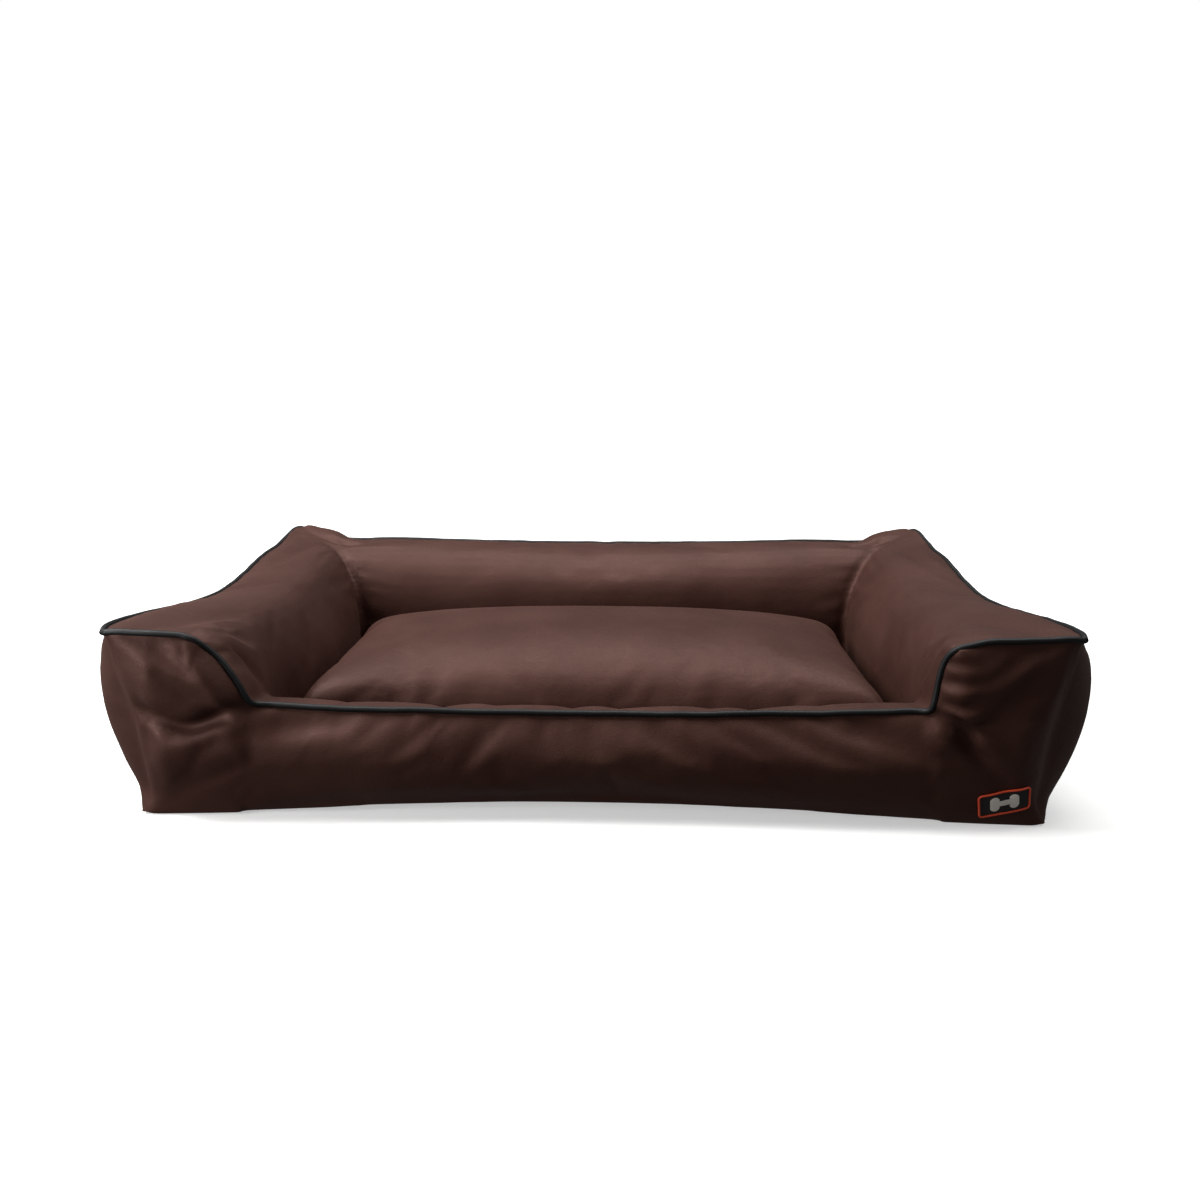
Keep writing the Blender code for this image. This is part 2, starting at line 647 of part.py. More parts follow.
def make_zip(tape, coil, metal):
    """The zip in the cushion's back seam: two tapes, two coils, stops, a slider and its puller."""
    back, seam, half = CUSHION_BACK_Y, CUSHION_SEAM, ZIP_LENGTH / 2
    coil_y = back + GAP
    coil_end = half - STOP_LENGTH - 2 * GAP
    slot = ZIP_SLOT / 2
    for name, way in (("upper", 1), ("lower", -1)):
        edges = sorted((seam + way * slot, seam + way * (slot + TAPE_WIDTH)))
        boxes(
            f"zip_{name}_tape", [((-half, back - TAPE_THICKNESS, edges[0]), (half, back, edges[1]))], tape
        )
        edges = sorted((seam + way * slot, seam + way * (slot + COIL_WIDTH)))
        boxes(
            f"zip_{name}_coil",
            [((-coil_end, coil_y, edges[0]), (coil_end, coil_y + COIL_HEIGHT, edges[1]))],
            coil,
        )
    for name, way in (("closed", 1), ("open", -1)):
        ends = sorted((way * half, way * (half - STOP_LENGTH)))
        reach = slot + COIL_WIDTH
        boxes(
            f"zip_{name}_end_stop",
            [((ends[0], coil_y, seam - reach), (ends[1], coil_y + COIL_HEIGHT + GAP, seam + reach))],
            metal,
        )
    make_slider(metal)


def make_slider(metal):
    """The slider at the closed end of the zip, and the puller lying along the coil."""
    seam = CUSHION_SEAM
    x = ZIP_LENGTH / 2 - STOP_LENGTH - GAP - SLIDER_LENGTH / 2 - GAP
    front = CUSHION_BACK_Y + GAP + COIL_HEIGHT + GAP
    behind = CUSHION_BACK_Y - TAPE_THICKNESS - GAP
    plate = front + SLIDER_PLATE
    half, wide = SLIDER_LENGTH / 2, SLIDER_WIDTH / 2
    neck, bite = SLIDER_NECK / 2, SLIDER_PLATE / 3
    bail, bar = BAIL_LENGTH / 2, BAIL_WIDTH / 2
    top = plate + BAIL_ROOM
    boxes(
        "zip_slider",
        [
            ((x - half, front, seam - wide), (x + half, plate, seam + wide)),
            ((x - half, behind - SLIDER_PLATE, seam - wide), (x + half, behind, seam + wide)),
            ((x - 2 * neck, behind - bite, seam - neck), (x + 2 * neck, front + bite, seam + neck)),
            ((x - bail, plate - bite, seam - bar), (x - bail + BAIL_BAR, top + bite, seam + bar)),
            ((x + bail - BAIL_BAR, plate - bite, seam - bar), (x + bail, top + bite, seam + bar)),
            ((x - bail, top, seam - bar), (x + bail, top + BAIL_BAR, seam + bar)),
        ],
        metal,
    )
    thick, wide = PULLER_THICKNESS / 2, PULLER_WIDTH / 2
    y = plate + BAIL_ROOM / 2
    arm = bar + GAP * 2
    boxes(
        "zip_puller",
        [
            ((x - thick, y - thick, seam - wide), (x + thick, y + thick, seam + wide)),
            ((x - PULLER_EYE, y - thick, seam - wide), (x, y + thick, seam - arm)),
            ((x - PULLER_EYE, y - thick, seam + arm), (x, y + thick, seam + wide)),
            ((x - PULLER_LENGTH, y - thick, seam - wide), (x - PULLER_EYE + bite, y + thick, seam + wide)),
        ],
        metal,
    )


def main():
    """Builds the whole bed."""
    clear_scene()
    cloth = finish_named("brown_nylon_cloth", (0.062, 0.03, 0.024), 0.45)
    piping = finish_named("black_piping_cloth", (0.008, 0.008, 0.012), 0.5)
    fibre = finish_named("white_polyester_fibre", (0.8, 0.8, 0.78), 0.9)
    cord = finish_named("cotton_piping_cord", (0.7, 0.68, 0.62), 0.9)
    patch = finish_named("label_cloth", (0.02, 0.012, 0.01), 0.7)
    thread = finish_named("label_thread", (0.55, 0.06, 0.02), 0.5)
    tape = finish_named("zip_tape", (0.03, 0.018, 0.015), 0.7)
    coil = finish_named("zip_coil_nylon", (0.02, 0.014, 0.012), 0.4)
    metal = finish_named("zip_metal", (0.12, 0.1, 0.09), 0.35, 1.0)
    make_base(cloth)
    make_walls(cloth, fibre)
    make_piping(piping, cord)
    make_label(patch, thread)
    make_cushion(cloth, fibre)
    make_zip(tape, coil, metal)


main()
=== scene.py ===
"""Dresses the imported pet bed: stuffed satin nylon walls with black piping, round a loose zipped cushion."""

import logging
import math
from dataclasses import dataclass
from enum import Enum

import bmesh
import bpy
import numpy as np
from mathutils import Matrix, Vector
from mathutils.bvhtree import BVHTree
from mathutils.kdtree import KDTree


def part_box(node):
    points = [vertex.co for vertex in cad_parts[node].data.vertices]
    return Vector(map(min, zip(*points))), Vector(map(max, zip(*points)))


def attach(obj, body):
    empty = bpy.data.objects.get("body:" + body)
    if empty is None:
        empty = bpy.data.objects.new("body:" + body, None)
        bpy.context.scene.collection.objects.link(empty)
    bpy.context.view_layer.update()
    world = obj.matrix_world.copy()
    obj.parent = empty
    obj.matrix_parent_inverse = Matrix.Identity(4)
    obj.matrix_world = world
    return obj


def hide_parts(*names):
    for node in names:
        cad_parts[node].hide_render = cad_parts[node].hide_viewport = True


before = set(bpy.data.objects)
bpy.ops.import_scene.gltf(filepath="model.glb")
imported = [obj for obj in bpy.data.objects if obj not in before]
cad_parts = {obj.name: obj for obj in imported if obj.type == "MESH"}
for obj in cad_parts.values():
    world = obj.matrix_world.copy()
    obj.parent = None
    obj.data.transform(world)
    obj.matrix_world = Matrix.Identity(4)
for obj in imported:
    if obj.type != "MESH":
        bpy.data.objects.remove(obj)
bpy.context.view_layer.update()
LOG = logging.getLogger("pet_bed")
NYLON_IOR = 1.53
Points = np.ndarray
Profile = list[tuple[float, float]]


def linear(hex_colour: str) -> tuple[float, float, float, float]:
    """Turns an sRGB hex colour into a linear one.

    Args:
        hex_colour: Six hex digits.

    Returns:
        Red, green, blue and alpha.
    """
    parts = [int(hex_colour[i : i + 2], 16) / 255 for i in (0, 2, 4)]
    return (*(c / 12.92 if c <= 0.04045 else ((c + 0.055) / 1.055) ** 2.4 for c in parts), 1.0)


def add_node(tree: bpy.types.NodeTree, kind: str, settings: dict | None = None, **links) -> bpy.types.Node:
    """Adds a node with its settings and its incoming links.

    Args:
        tree: The material's node tree.
        kind: The node's Blender type name.
        settings: Attributes of the node by name, and socket values by number or socket name.
        links: Sockets or values for inputs, by the input's name with spaces as underscores, or as in_NUMBER.

    Returns:
        The new node.
    """
    node = tree.nodes.new(kind)
    for key, value in (settings or {}).items():
        if isinstance(key, str) and hasattr(node, key):
            setattr(node, key, value)
        else:
            node.inputs[key].default_value = value
    for name, source in links.items():
        key = int(name[3:]) if name.startswith("in_") else name.replace("_", " ")
        if isinstance(source, bpy.types.NodeSocket):
            tree.links.new(source, node.inputs[key])
        else:
            node.inputs[key].default_value = source
    return node


def blank(name: str) -> tuple[bpy.types.Material, bpy.types.NodeTree, bpy.types.Node, bpy.types.NodeSocket]:
    """Starts a material.

    Args:
        name: The material's name.

    Returns:
        The material, its node tree, its shader, and the socket that gives a point's place.
    """
    material = bpy.data.materials.new(name)
    material.use_nodes = True
    tree = material.node_tree
    place = add_node(tree, "ShaderNodeTexCoord").outputs["Object"]
    return material, tree, tree.nodes["Principled BSDF"], place


def set_inputs(node: bpy.types.Node, **values) -> None:
    """Sets a node's own inputs, by their names with spaces as underscores."""
    for name, value in values.items():
        node.inputs[name.replace("_", " ")].default_value = value


def bell(distance: Points | float, width: float) -> Points | float:
    """A bell-shaped falloff, 1 at no distance and a third at one width."""
    return np.exp(-((distance / width) ** 2))


def swell(share: Points | float) -> Points | float:
    """0 at both ends of a run, and 1 halfway along."""
    return np.sin(np.pi * np.clip(share, 0.0, 1.0)) ** 2


def ease(share: Points | float) -> Points | float:
    """Goes smoothly from 0 to 1."""
    t = np.clip(share, 0.0, 1.0)
    return t * t * (3 - 2 * t)


def waviness(along: Points, seed: int, steps: tuple[float, ...]) -> Points:
    """A sum of sine waves of uneven lengths, about -1 to 1.

    Args:
        along: Distance along a seam or a fold, in metres.
        seed: Sets the waves' phases.
        steps: Each wave's length, in metres.

    Returns:
        The wave's height at each distance.
    """
    phases = np.random.default_rng(seed).uniform(0, 2 * np.pi, len(steps))
    waves = [np.sin(2 * np.pi * along / step + phase) for step, phase in zip(steps, phases)]
    return sum(waves) / math.sqrt(len(steps))


@dataclass(frozen=True)
class BedSizes:
    """The bed's driving sizes, in metres, as in the CAD part."""

    width: float = 1.2
    depth: float = 0.8
    wall_height: float = 0.25
    entry_height: float = 0.148
    wall_thickness: float = 0.166
    front_thickness: float = 0.14
    piping: float = 0.008
    cushion_seam: float = 0.062
    cushion_crown: float = 0.172
    cushion_back: float = 0.194
    zip_half: float = 0.32


SIZES = BedSizes()


class Side(Enum):
    """The bed's four walls."""

    FRONT = "front"
    RIGHT = "right"
    BACK = "back"
    LEFT = "left"


@dataclass(frozen=True)
class SatinNylon:
    """Satin-woven nylon, PU coated on the back. Its long tight floats give a soft, slightly warm sheen."""

    name: str = "satin_woven_nylon"
    colour: str = "321D18"
    dust: str = "3D2721"
    thread_mm: float = 1.4  # real threads are 0.2 mm, drawn coarser so that the weave can show
    crinkle_mm: float = 14.0

    def build(self) -> bpy.types.Material:
        """Makes the material.

        Returns:
            The material.
        """
        material, tree, shader, place = blank(self.name)
        per_metre = 1000 / self.thread_mm
        # Warp floats run in short uneven dashes, so the noise is stretched along one way and tight across.
        stretched = add_node(tree, "ShaderNodeMapping", {"Scale": (0.3, 1.0, 1.0)}, Vector=place)
        weave = add_node(
            tree, "ShaderNodeTexNoise", {"Scale": per_metre, "Detail": 2.0}, Vector=stretched.outputs[0]
        )
        # Broad uneven dyeing and handling marks, about 120 mm across.
        cloudy = add_node(tree, "ShaderNodeTexNoise", {"Scale": 8.0, "Detail": 3.0}, Vector=place)
        tint = add_node(
            tree, "ShaderNodeMapRange", {"From Min": 0.35, "From Max": 0.7}, Value=cloudy.outputs["Fac"]
        )
        colours = {"data_type": "RGBA", 6: linear(self.colour), 7: linear(self.dust)}
        mixed = add_node(tree, "ShaderNodeMix", colours, in_0=tint.outputs[0])
        tree.links.new(mixed.outputs[2], shader.inputs["Base Color"])
        gloss = add_node(
            tree,
            "ShaderNodeMapRange",
            {"From Min": 0.3, "From Max": 0.7, "To Min": 0.48, "To Max": 0.62},
            Value=weave.outputs["Fac"],
        )
        tree.links.new(gloss.outputs[0], shader.inputs["Roughness"])
        # A coated cloth creases softly where it has been handled, and its floats catch the light unevenly.
        crinkle = add_node(
            tree,
            "ShaderNodeTexNoise",
            {"Scale": 1000 / self.crinkle_mm, "Detail": 4.0, "Distortion": 0.6},
            Vector=place,
        )
        soft = add_node(
            tree, "ShaderNodeBump", {"Strength": 0.35, "Distance": 0.0012}, Height=crinkle.outputs["Fac"]
        )
        relief = add_node(
            tree,
            "ShaderNodeBump",
            {"Strength": 0.45, "Distance": 0.0004},
            Height=weave.outputs["Fac"],
            Normal=soft.outputs[0],
        )
        tree.links.new(relief.outputs[0], shader.inputs["Normal"])
        set_inputs(shader, IOR=NYLON_IOR, Specular_IOR_Level=0.4, Specular_Tint=linear("D8A498"))
        set_inputs(shader, Sheen_Weight=0.05, Sheen_Roughness=0.35, Sheen_Tint=linear("B08878"))
        return material


@dataclass(frozen=True)
class PipingCloth:
    """Plain-woven nylon cut on the bias and folded round a cord. The slanting threads catch small glints."""

    name: str = "bias_cut_piping_cloth"
    colour: str = "08080B"
    thread_mm: float = 0.9  # real threads are 0.3 mm, drawn coarser so that they can show

    def build(self) -> bpy.types.Material:
        """Makes the material.

        Returns:
            The material.
        """
        material, tree, shader, place = blank(self.name)
        noise = add_node(
            tree, "ShaderNodeTexNoise", {"Scale": 1000 / self.thread_mm, "Detail": 1.0}, Vector=place
        )
        relief = add_node(
            tree, "ShaderNodeBump", {"Strength": 0.4, "Distance": 0.0004}, Height=noise.outputs["Fac"]
        )
        tree.links.new(relief.outputs[0], shader.inputs["Normal"])
        set_inputs(shader, Base_Color=linear(self.colour), Roughness=0.55)
        set_inputs(shader, IOR=NYLON_IOR, Specular_IOR_Level=0.3)
        return material


@dataclass(frozen=True)
class PlainFinish:
    """A small part's finish: one colour with a fine uneven gloss, as on moulded nylon or plated zinc."""

    name: str
    colour: str
    roughness: float
    metallic: float
    grain_mm: float

    def build(self) -> bpy.types.Material:
        """Makes the material.

        Returns:
            The material.
        """
        material, tree, shader, place = blank(self.name)
        grain = add_node(
            tree, "ShaderNodeTexNoise", {"Scale": 1000 / self.grain_mm, "Detail": 2.0}, Vector=place
        )
        gloss = add_node(
            tree,
            "ShaderNodeMapRange",
            {"To Min": self.roughness - 0.1, "To Max": self.roughness + 0.1},
            Value=grain.outputs["Fac"],
        )
        tree.links.new(gloss.outputs[0], shader.inputs["Roughness"])
        relief = add_node(
            tree, "ShaderNodeBump", {"Strength": 0.2, "Distance": 0.0001}, Height=grain.outputs["Fac"]
        )
        tree.links.new(relief.outputs[0], shader.inputs["Normal"])
        set_inputs(shader, Base_Color=linear(self.colour), Metallic=self.metallic)
        return material


def new_mesh(name: str, bm: bmesh.types.BMesh, material: bpy.types.Material | None) -> bpy.types.Object:
    """Links a bmesh to the scene as a smooth-shaded object.

    Args:
        name: The object's name.
        bm: The shape, which is freed.
        material: Its material.

    Returns:
        The object.
    """
    mesh = bpy.data.meshes.new(name)
    bm.to_mesh(mesh)
    bm.free()
    mesh.shade_smooth()
    if material:
        mesh.materials.append(material)
    made = bpy.data.objects.new(name, mesh)
    bpy.context.scene.collection.objects.link(made)
    return made


def vectors(rows: bpy.types.bpy_prop_collection, attribute: str) -> Points:
    """The vectors that a mesh keeps for its vertices, as an array.

    Args:
        rows: The mesh's collection that holds them.
        attribute: What each row of it calls its vector.

    Returns:
        A row for each vertex.
    """
    flat = np.zeros(len(rows) * 3, np.float32)
    rows.foreach_get(attribute, flat)
    return flat.reshape(-1, 3).astype(float)


def points_of(mesh: bpy.types.Mesh) -> Points:
    """The mesh's vertices as an array."""
    return vectors(mesh.vertices, "co")


def search_tree(points: Points) -> KDTree:
    """A tree that finds the nearest of some points.

    Args:
        points: A row for each point.

    Returns:
        The balanced tree.
    """
    tree = KDTree(len(points))
    for i, point in enumerate(points):
        tree.insert(point, i)
    tree.balance()
    return tree


def face_rows(bm: bmesh.types.BMesh, rows: list[list[bmesh.types.BMVert]], closed: bool = False) -> None:
    """Fills in the faces between rows of vertices.

    Args:
        bm: The mesh that gets the faces.
        rows: Rows of equal length.
        closed: Whether each row joins its own start again.
    """
    for lower, upper in zip(rows, rows[1:]):
        for k in range(len(lower) - (not closed)):
            j = (k + 1) % len(lower)
            bm.faces.new((lower[k], lower[j], upper[j], upper[k]))


def put_points(mesh: bpy.types.Mesh, points: Points) -> None:
    """Moves the mesh's vertices."""
    mesh.vertices.foreach_set("co", points.astype(np.float32).ravel())
    mesh.update()


def smoothed(mesh: bpy.types.Mesh, values: Points, rounds: int) -> Points:
    """Averages values over neighbouring vertices.

    Args:
        mesh: The mesh whose edges say which vertices are neighbours.
        values: A row for each vertex.
        rounds: How many times to average.

    Returns:
        The smoothed rows.
    """
    ends = np.zeros(len(mesh.edges) * 2, np.int64)
    mesh.edges.foreach_get("vertices", ends)
    ends = ends.reshape(-1, 2)
    count = np.bincount(ends.ravel(), minlength=len(values))[:, None]
    for _ in range(rounds):
        near = np.zeros_like(values)
        for axis in range(values.shape[1]):
            column = values[:, axis]
            near[:, axis] = np.bincount(ends[:, 0], column[ends[:, 1]], len(values))
            near[:, axis] += np.bincount(ends[:, 1], column[ends[:, 0]], len(values))
        values = 0.3 * values + 0.7 * near / count
    return values


def smooth_line(points: Profile, share: float) -> tuple[float, float]:
    """The point at a share of a smooth line through points in the plane.

    Args:
        points: The points in order, spaced evenly in share.
        share: How far along, from 0 to 1.

    Returns:
        The point's two coordinates.
    """
    spans = len(points) - 1
    span = min(int(share * spans), spans - 1)
    t = share * spans - span
    a, b, c, d = (np.array(points[min(max(span + i, 0), spans)]) for i in (-1, 0, 1, 2))
    return tuple(
        b + (c - a) * t / 2 + (2 * a - 5 * b + 4 * c - d) * t**2 / 2 + (d - a + 3 * (b - c)) * t**3 / 2
    )


@dataclass(frozen=True)
class Filling:
    """How hard a cover is stuffed. Its cloth is stiff in its plane and limp out of it, so it folds."""

    pressure: float
    seam_shrink: float  # how much shorter the stitching makes the cloth along a seam
    tension: float
    quality: int
    frames: int

    def blow_up(self, cover: bpy.types.Object, shrink: Points, held: Points) -> Points:
        """Fills a cover out with pressure while its seams shrink, and takes the simulation off again.

        Args:
            cover: The cover as it is cut and sewn.
            shrink: How much of the seams' shrinking each vertex gets, from 0 to 1.
            held: How firmly each vertex is kept in place, from 0 to 1.

        Returns:
            How far each vertex moves.
        """
        before = points_of(cover.data)
        for name, weights in (("shrink", shrink), ("held", held)):
            group = cover.vertex_groups.new(name=name)
            for i in np.nonzero(weights > 0.01)[0]:
                group.add([int(i)], float(weights[i]), "REPLACE")
        cloth = cover.modifiers.new("filling", "CLOTH")
        settings = cloth.settings
        settings.quality = self.quality
        settings.mass = 0.3
        settings.tension_stiffness = self.tension
        settings.compression_stiffness = 20
        settings.shear_stiffness = 10
        settings.bending_stiffness = 1.0
        settings.use_pressure = True
        settings.uniform_pressure_force = self.pressure
        settings.effector_weights.gravity = 0
        settings.vertex_group_mass = "held"
        settings.vertex_group_shrink = "shrink"
        settings.shrink_max = self.seam_shrink
        cloth.collision_settings.use_collision = False
        cloth.point_cache.frame_end = self.frames
        scene = bpy.context.scene
        for step in range(1, self.frames + 1):
            scene.frame_set(step)
        after = points_of(cover.evaluated_get(bpy.context.evaluated_depsgraph_get()).data)
        cover.modifiers.clear()
        scene.frame_set(1)
        return after - before


@dataclass
class Wall:
    """A stuffed wall between two outer corners, seen from above with the bed's inside on its left."""

    start: tuple[float, float]
    end: tuple[float, float]
    thickness: float
    height: float
    pull_in: float
    sag: float
    square_start: float = 0.0  # how far the wall keeps a squared section from its start
    square_end: float = 0.0
    crown: float = 1.03  # height of the section's crown, as a share of the top seam's
    room: float = 0.0  # how much thinner it starts, so that it swells to its real thickness
    dip: float = 1.0  # how sharply the top seam drops beside its ends: the lower, the sharper

    def __post_init__(self) -> None:
        """Works out the wall's run."""
        self.origin = Vector((*self.start, 0.0))
        run = Vector((*self.end, 0.0)) - self.origin
        self.length = run.length
        self.along = run.normalized()
        self.inward = Vector((-self.along.y, self.along.x, 0.0))

    def top(self, distance: float) -> float:
        """Height of the wall's top seam."""
        return self.height - self.sag * float(swell(distance / self.length)) ** self.dip

    def place(self, distance: float, inset: float, z: float) -> Vector:
        """A point from its distance along the wall, its inset from the outer face and its height.

        Args:
            distance: How far along the wall.
            inset: How far in from the outer face.
            z: Its height.

        Returns:
            The point.
        """
        flat = self.origin + self.along * distance
        flat = flat + self.inward * (inset + self.pull_in * float(swell(distance / self.length)))
        return Vector((flat.x, flat.y, z))

    def inner(self, distance: float, share: float) -> tuple[float, float]:
        """Inset and height on the inner cover, from the top seam (0) to the base (1).

        Args:
            distance: How far along the wall.
            share: How far down the cover.

        Returns:
            The inset and the height.
        """
        top = self.top(distance)
        squared = 0.0
        if self.square_start:
            squared = 1 - float(ease((distance - 0.02) / self.square_start))
        if self.square_end:
            squared = max(squared, 1 - float(ease((self.length - distance - 0.02) / self.square_end)))
        thick = self.thickness - self.room * (1 - squared)
        # Shares of the thickness and of the height down the cover: rounded, and squared beside a wing's end.
        full = [(0.30, self.crown), (0.66, 0.96 * self.crown), (0.93, 0.74), (1.0, 0.48), (0.97, 0.22)]
        square = [(0.45, 0.985), (0.84, 0.968), (0.985, 0.9), (1.0, 0.6), (0.99, 0.28)]
        middle = [
            (thick * (a + (c - a) * squared), top * (b + (d - b) * squared))
            for (a, b), (c, d) in zip(full, square)
        ]
        return smooth_line([(0.002, top), *middle, (thick - 0.022, 0.0)], share)

    def solid(self) -> bmesh.types.BMesh:
        """The wall as one closed solid, running to the neighbouring walls' outer faces.

        Returns:
            The solid.
        """
        bm = bmesh.new()
        rings = []
        columns = 40
        for i in range(columns + 1):
            distance = self.length * i / columns
            top = self.top(distance)
            section = [(outer_inset(z), z) for z in np.linspace(0, top, 10)]
            section += [self.inner(distance, k / 20) for k in range(1, 21)]
            ring = []
            for inset, z in section:
                end = outer_inset(z)
                reach = end + (self.length - 2 * end) * i / columns
                ring.append(bm.verts.new(self.place(reach, inset, z)))
            rings.append(ring)
        for near, far in zip(rings, rings[1:]):
            for k in range(len(near)):
                j = (k + 1) % len(near)
                bm.faces.new((near[k], far[k], far[j], near[j]))
        bm.faces.new(rings[0])
        bm.faces.new(rings[-1][::-1])
        bmesh.ops.recalc_face_normals(bm, faces=bm.faces[:])
        return bm


def outer_inset(z: float) -> float:
    """How far the outer face lies inside the bed's outline at a height."""
    return 0.001 + 0.008 * max(0.0, 1.0 - z / SIZES.wall_height) ** 2


@dataclass
class BolsterRing:
    """The four stuffed walls. Their panels are one skin, blown up and then cut along its seams."""

    cell: float = 0.0085  # size of the mesh that is filled
    filling: Filling = Filling(pressure=2.5, seam_shrink=0.03, tension=60, quality=6, frames=18)
    broad_gain: float = 0.5  # how much of the filling's broad swelling is kept
    fine_gain: float = 0.7  # how much of its folds is kept
    corner_pull: float = 0.011  # how far a corner's upright seam is drawn in
    ear: float = 0.007  # how far a base corner stands out
    side_bulge: float = 0.046  # how far the side panels belly out, and so on round the bed
    peak: float = 0.008  # how far the tips of the back corners stand up
    hollow: float = 0.012  # how far the cover sinks beside those tips
    back_bulge: float = 0.016
    front_bulge: float = 0.026
    wing_bulge: float = 0.022
    entry_roll: float = 0.018  # how far the entry's top rolls back over its inner side
    unevenness: float = 0.0002  # how uneven the cut and the filling are, so that folds don't repeat
    left_lean: float = 0.034  # how far the left wing's inner edge slopes back towards its top
    front_lift: float = 0.018  # how far the front's base seam rises off the floor, halfway along

    def __post_init__(self) -> None:
        """Sets out the walls."""
        x, y = SIZES.width / 2, SIZES.depth / 2
        thick, tall = SIZES.wall_thickness, SIZES.wall_height
        low_thick, low_tall = SIZES.front_thickness, SIZES.entry_height
        self.walls = {
            Side.FRONT: Wall((-x, -y), (x, -y), low_thick, low_tall, 0.022, 0.004, crown=0.97, room=0.012),
            Side.RIGHT: Wall((x, -y), (x, y), thick, tall, 0.02, 0.042, square_start=0.2, room=0.022),
            Side.BACK: Wall((x, y), (-x, y), thick, tall, 0.012, 0.024, room=0.018, dip=0.22),
            Side.LEFT: Wall((-x, y), (-x, -y), thick, tall, 0.02, 0.042, square_end=0.2, room=0.022),
        }

    def wing_edge(self) -> list[Vector]:
        """Points down the right wing's edge, from its outer corner to the entry.

        Returns:
            The points in order.
        """
        wall = self.walls[Side.RIGHT]
        front = self.walls[Side.FRONT]
        made = []
        for share in np.linspace(0, 1, 160):
            inset, z = wall.inner(0.0, float(share))
            x = wall.start[0] - inset
            if z < front.top(x + SIZES.width / 2):
                break
            made.append(front.place(x + SIZES.width / 2, outer_inset(z), z))
        return made

    def front_seam(self) -> list[Vector]:
        """The front panel's top seam: over the left wing, along the entry and over the right wing.

        Returns:
            The points in order.
        """
        right = self.wing_edge()
        left = [Vector((-p.x, p.y, p.z)) for p in right]
        front = self.walls[Side.FRONT]
        reach = right[-1].x
        entry = []
        for x in np.linspace(-reach, reach, 240)[1:-1]:
            top = front.top(x + SIZES.width / 2)
            entry.append(front.place(x + SIZES.width / 2, outer_inset(top), top))
        return left + entry + right[::-1]

    def rim_seam(self) -> list[Vector]:
        """The side and back walls' top seam, from the front right corner to the front left one.

        Returns:
            The points in order.
        """
        made = []
        for side in (Side.RIGHT, Side.BACK, Side.LEFT):
            wall = self.walls[side]
            for distance in np.linspace(0.001, wall.length - 0.001, 200):
                made.append(wall.place(distance, outer_inset(wall.top(distance)), wall.top(distance)))
        return made

    def stitched(self) -> list[Vector]:
        """Points on the seams without piping: the upright corners, and the back mitres.

        Returns:
            The points.
        """
        made = []
        back = self.walls[Side.BACK]
        for way_x in (-1, 1):
            for way_y in (-1, 1):
                for z in np.linspace(0, SIZES.wall_height, 60):
                    inset = outer_inset(z)
                    x, y = SIZES.width / 2 - inset, SIZES.depth / 2 - inset
                    made.append(Vector((way_x * x, way_y * y, z)))
            for share in np.linspace(0, 1, 120):
                inset, z = back.inner(0.12, float(share))
                made.append(Vector((way_x * (SIZES.width / 2 - inset), SIZES.depth / 2 - inset, z)))
        return made

    def skin(self) -> bpy.types.Object:
        """The four walls joined into one even mesh.

        Returns:
            The joined walls.
        """
        parts = [new_mesh("walls_skin", wall.solid(), None) for wall in self.walls.values()]
        bpy.ops.object.select_all(action="DESELECT")
        for part in parts:
            part.select_set(True)
        bpy.context.view_layer.objects.active = parts[0]
        bpy.ops.object.join()
        skin = parts[0]
        skin.data.remesh_voxel_size = self.cell * 1.0
        bpy.ops.object.voxel_remesh()
        return skin

    def settle(self, points: Points) -> Points:
        """Draws the corners in, lets the faces belly out and lifts the front's base seam.

        Args:
            points: The skin's vertices.

        Returns:
            Where they go.
        """
        x, y, z = points.T
        side_x, side_y = np.sign(x), np.sign(y)
        from_side = SIZES.width / 2 - np.abs(x)
        from_end = SIZES.depth / 2 - np.abs(y)
        tall = np.clip(z / SIZES.wall_height, 0, 1)
        corner = np.hypot(from_side, from_end)
        moved = points.copy()
        # The corners' upright seams are drawn in above the base, where a small ear stands out.
        pull = self.corner_pull * bell(corner, 0.055) * ease(z / 0.035) * (1 - ease((z - 0.1) / 0.15))
        ear = self.ear * bell(corner, 0.035) * bell(z, 0.014)
        moved[:, 0] += side_x * (ear - pull)
        moved[:, 1] += side_y * (0.4 * ear - 0.8 * pull)
        moved[:, 0] -= side_x * 0.003 * bell(corner, 0.07)
        # The faces belly out between their seams.
        belly = np.sin(np.pi * tall**1.1) ** 0.6 * ease(from_end / 0.05) * bell(from_side, 0.07)
        moved[:, 0] += side_x * self.side_bulge * belly
        belly = np.sin(np.pi * tall) * ease(from_side / 0.07) * bell(from_end, 0.05)
        moved[:, 1] += self.back_bulge * (y > 0) * belly
        moved[:, 1] -= (y < 0) * self.front_belly(x, z) * ease(from_side / 0.06) * bell(from_end, 0.045)
        # The entry's top rolls back, and the left wing's inner edge leans.
        low = np.clip(z / SIZES.entry_height, 0, 1)
        entry = 1 - ease((np.abs(x) - 0.42) / 0.03)
        moved[:, 1] += (y < 0) * self.entry_roll * ease((low - 0.5) / 0.5) * bell(from_end, 0.07) * entry
        notch = SIZES.width / 2 - SIZES.wall_thickness
        lean = self.left_lean * ease((z - SIZES.entry_height) / (SIZES.wall_height - SIZES.entry_height))
        moved[:, 0] -= lean * bell(x + notch, 0.05) * bell(y + SIZES.depth / 2, 0.12)
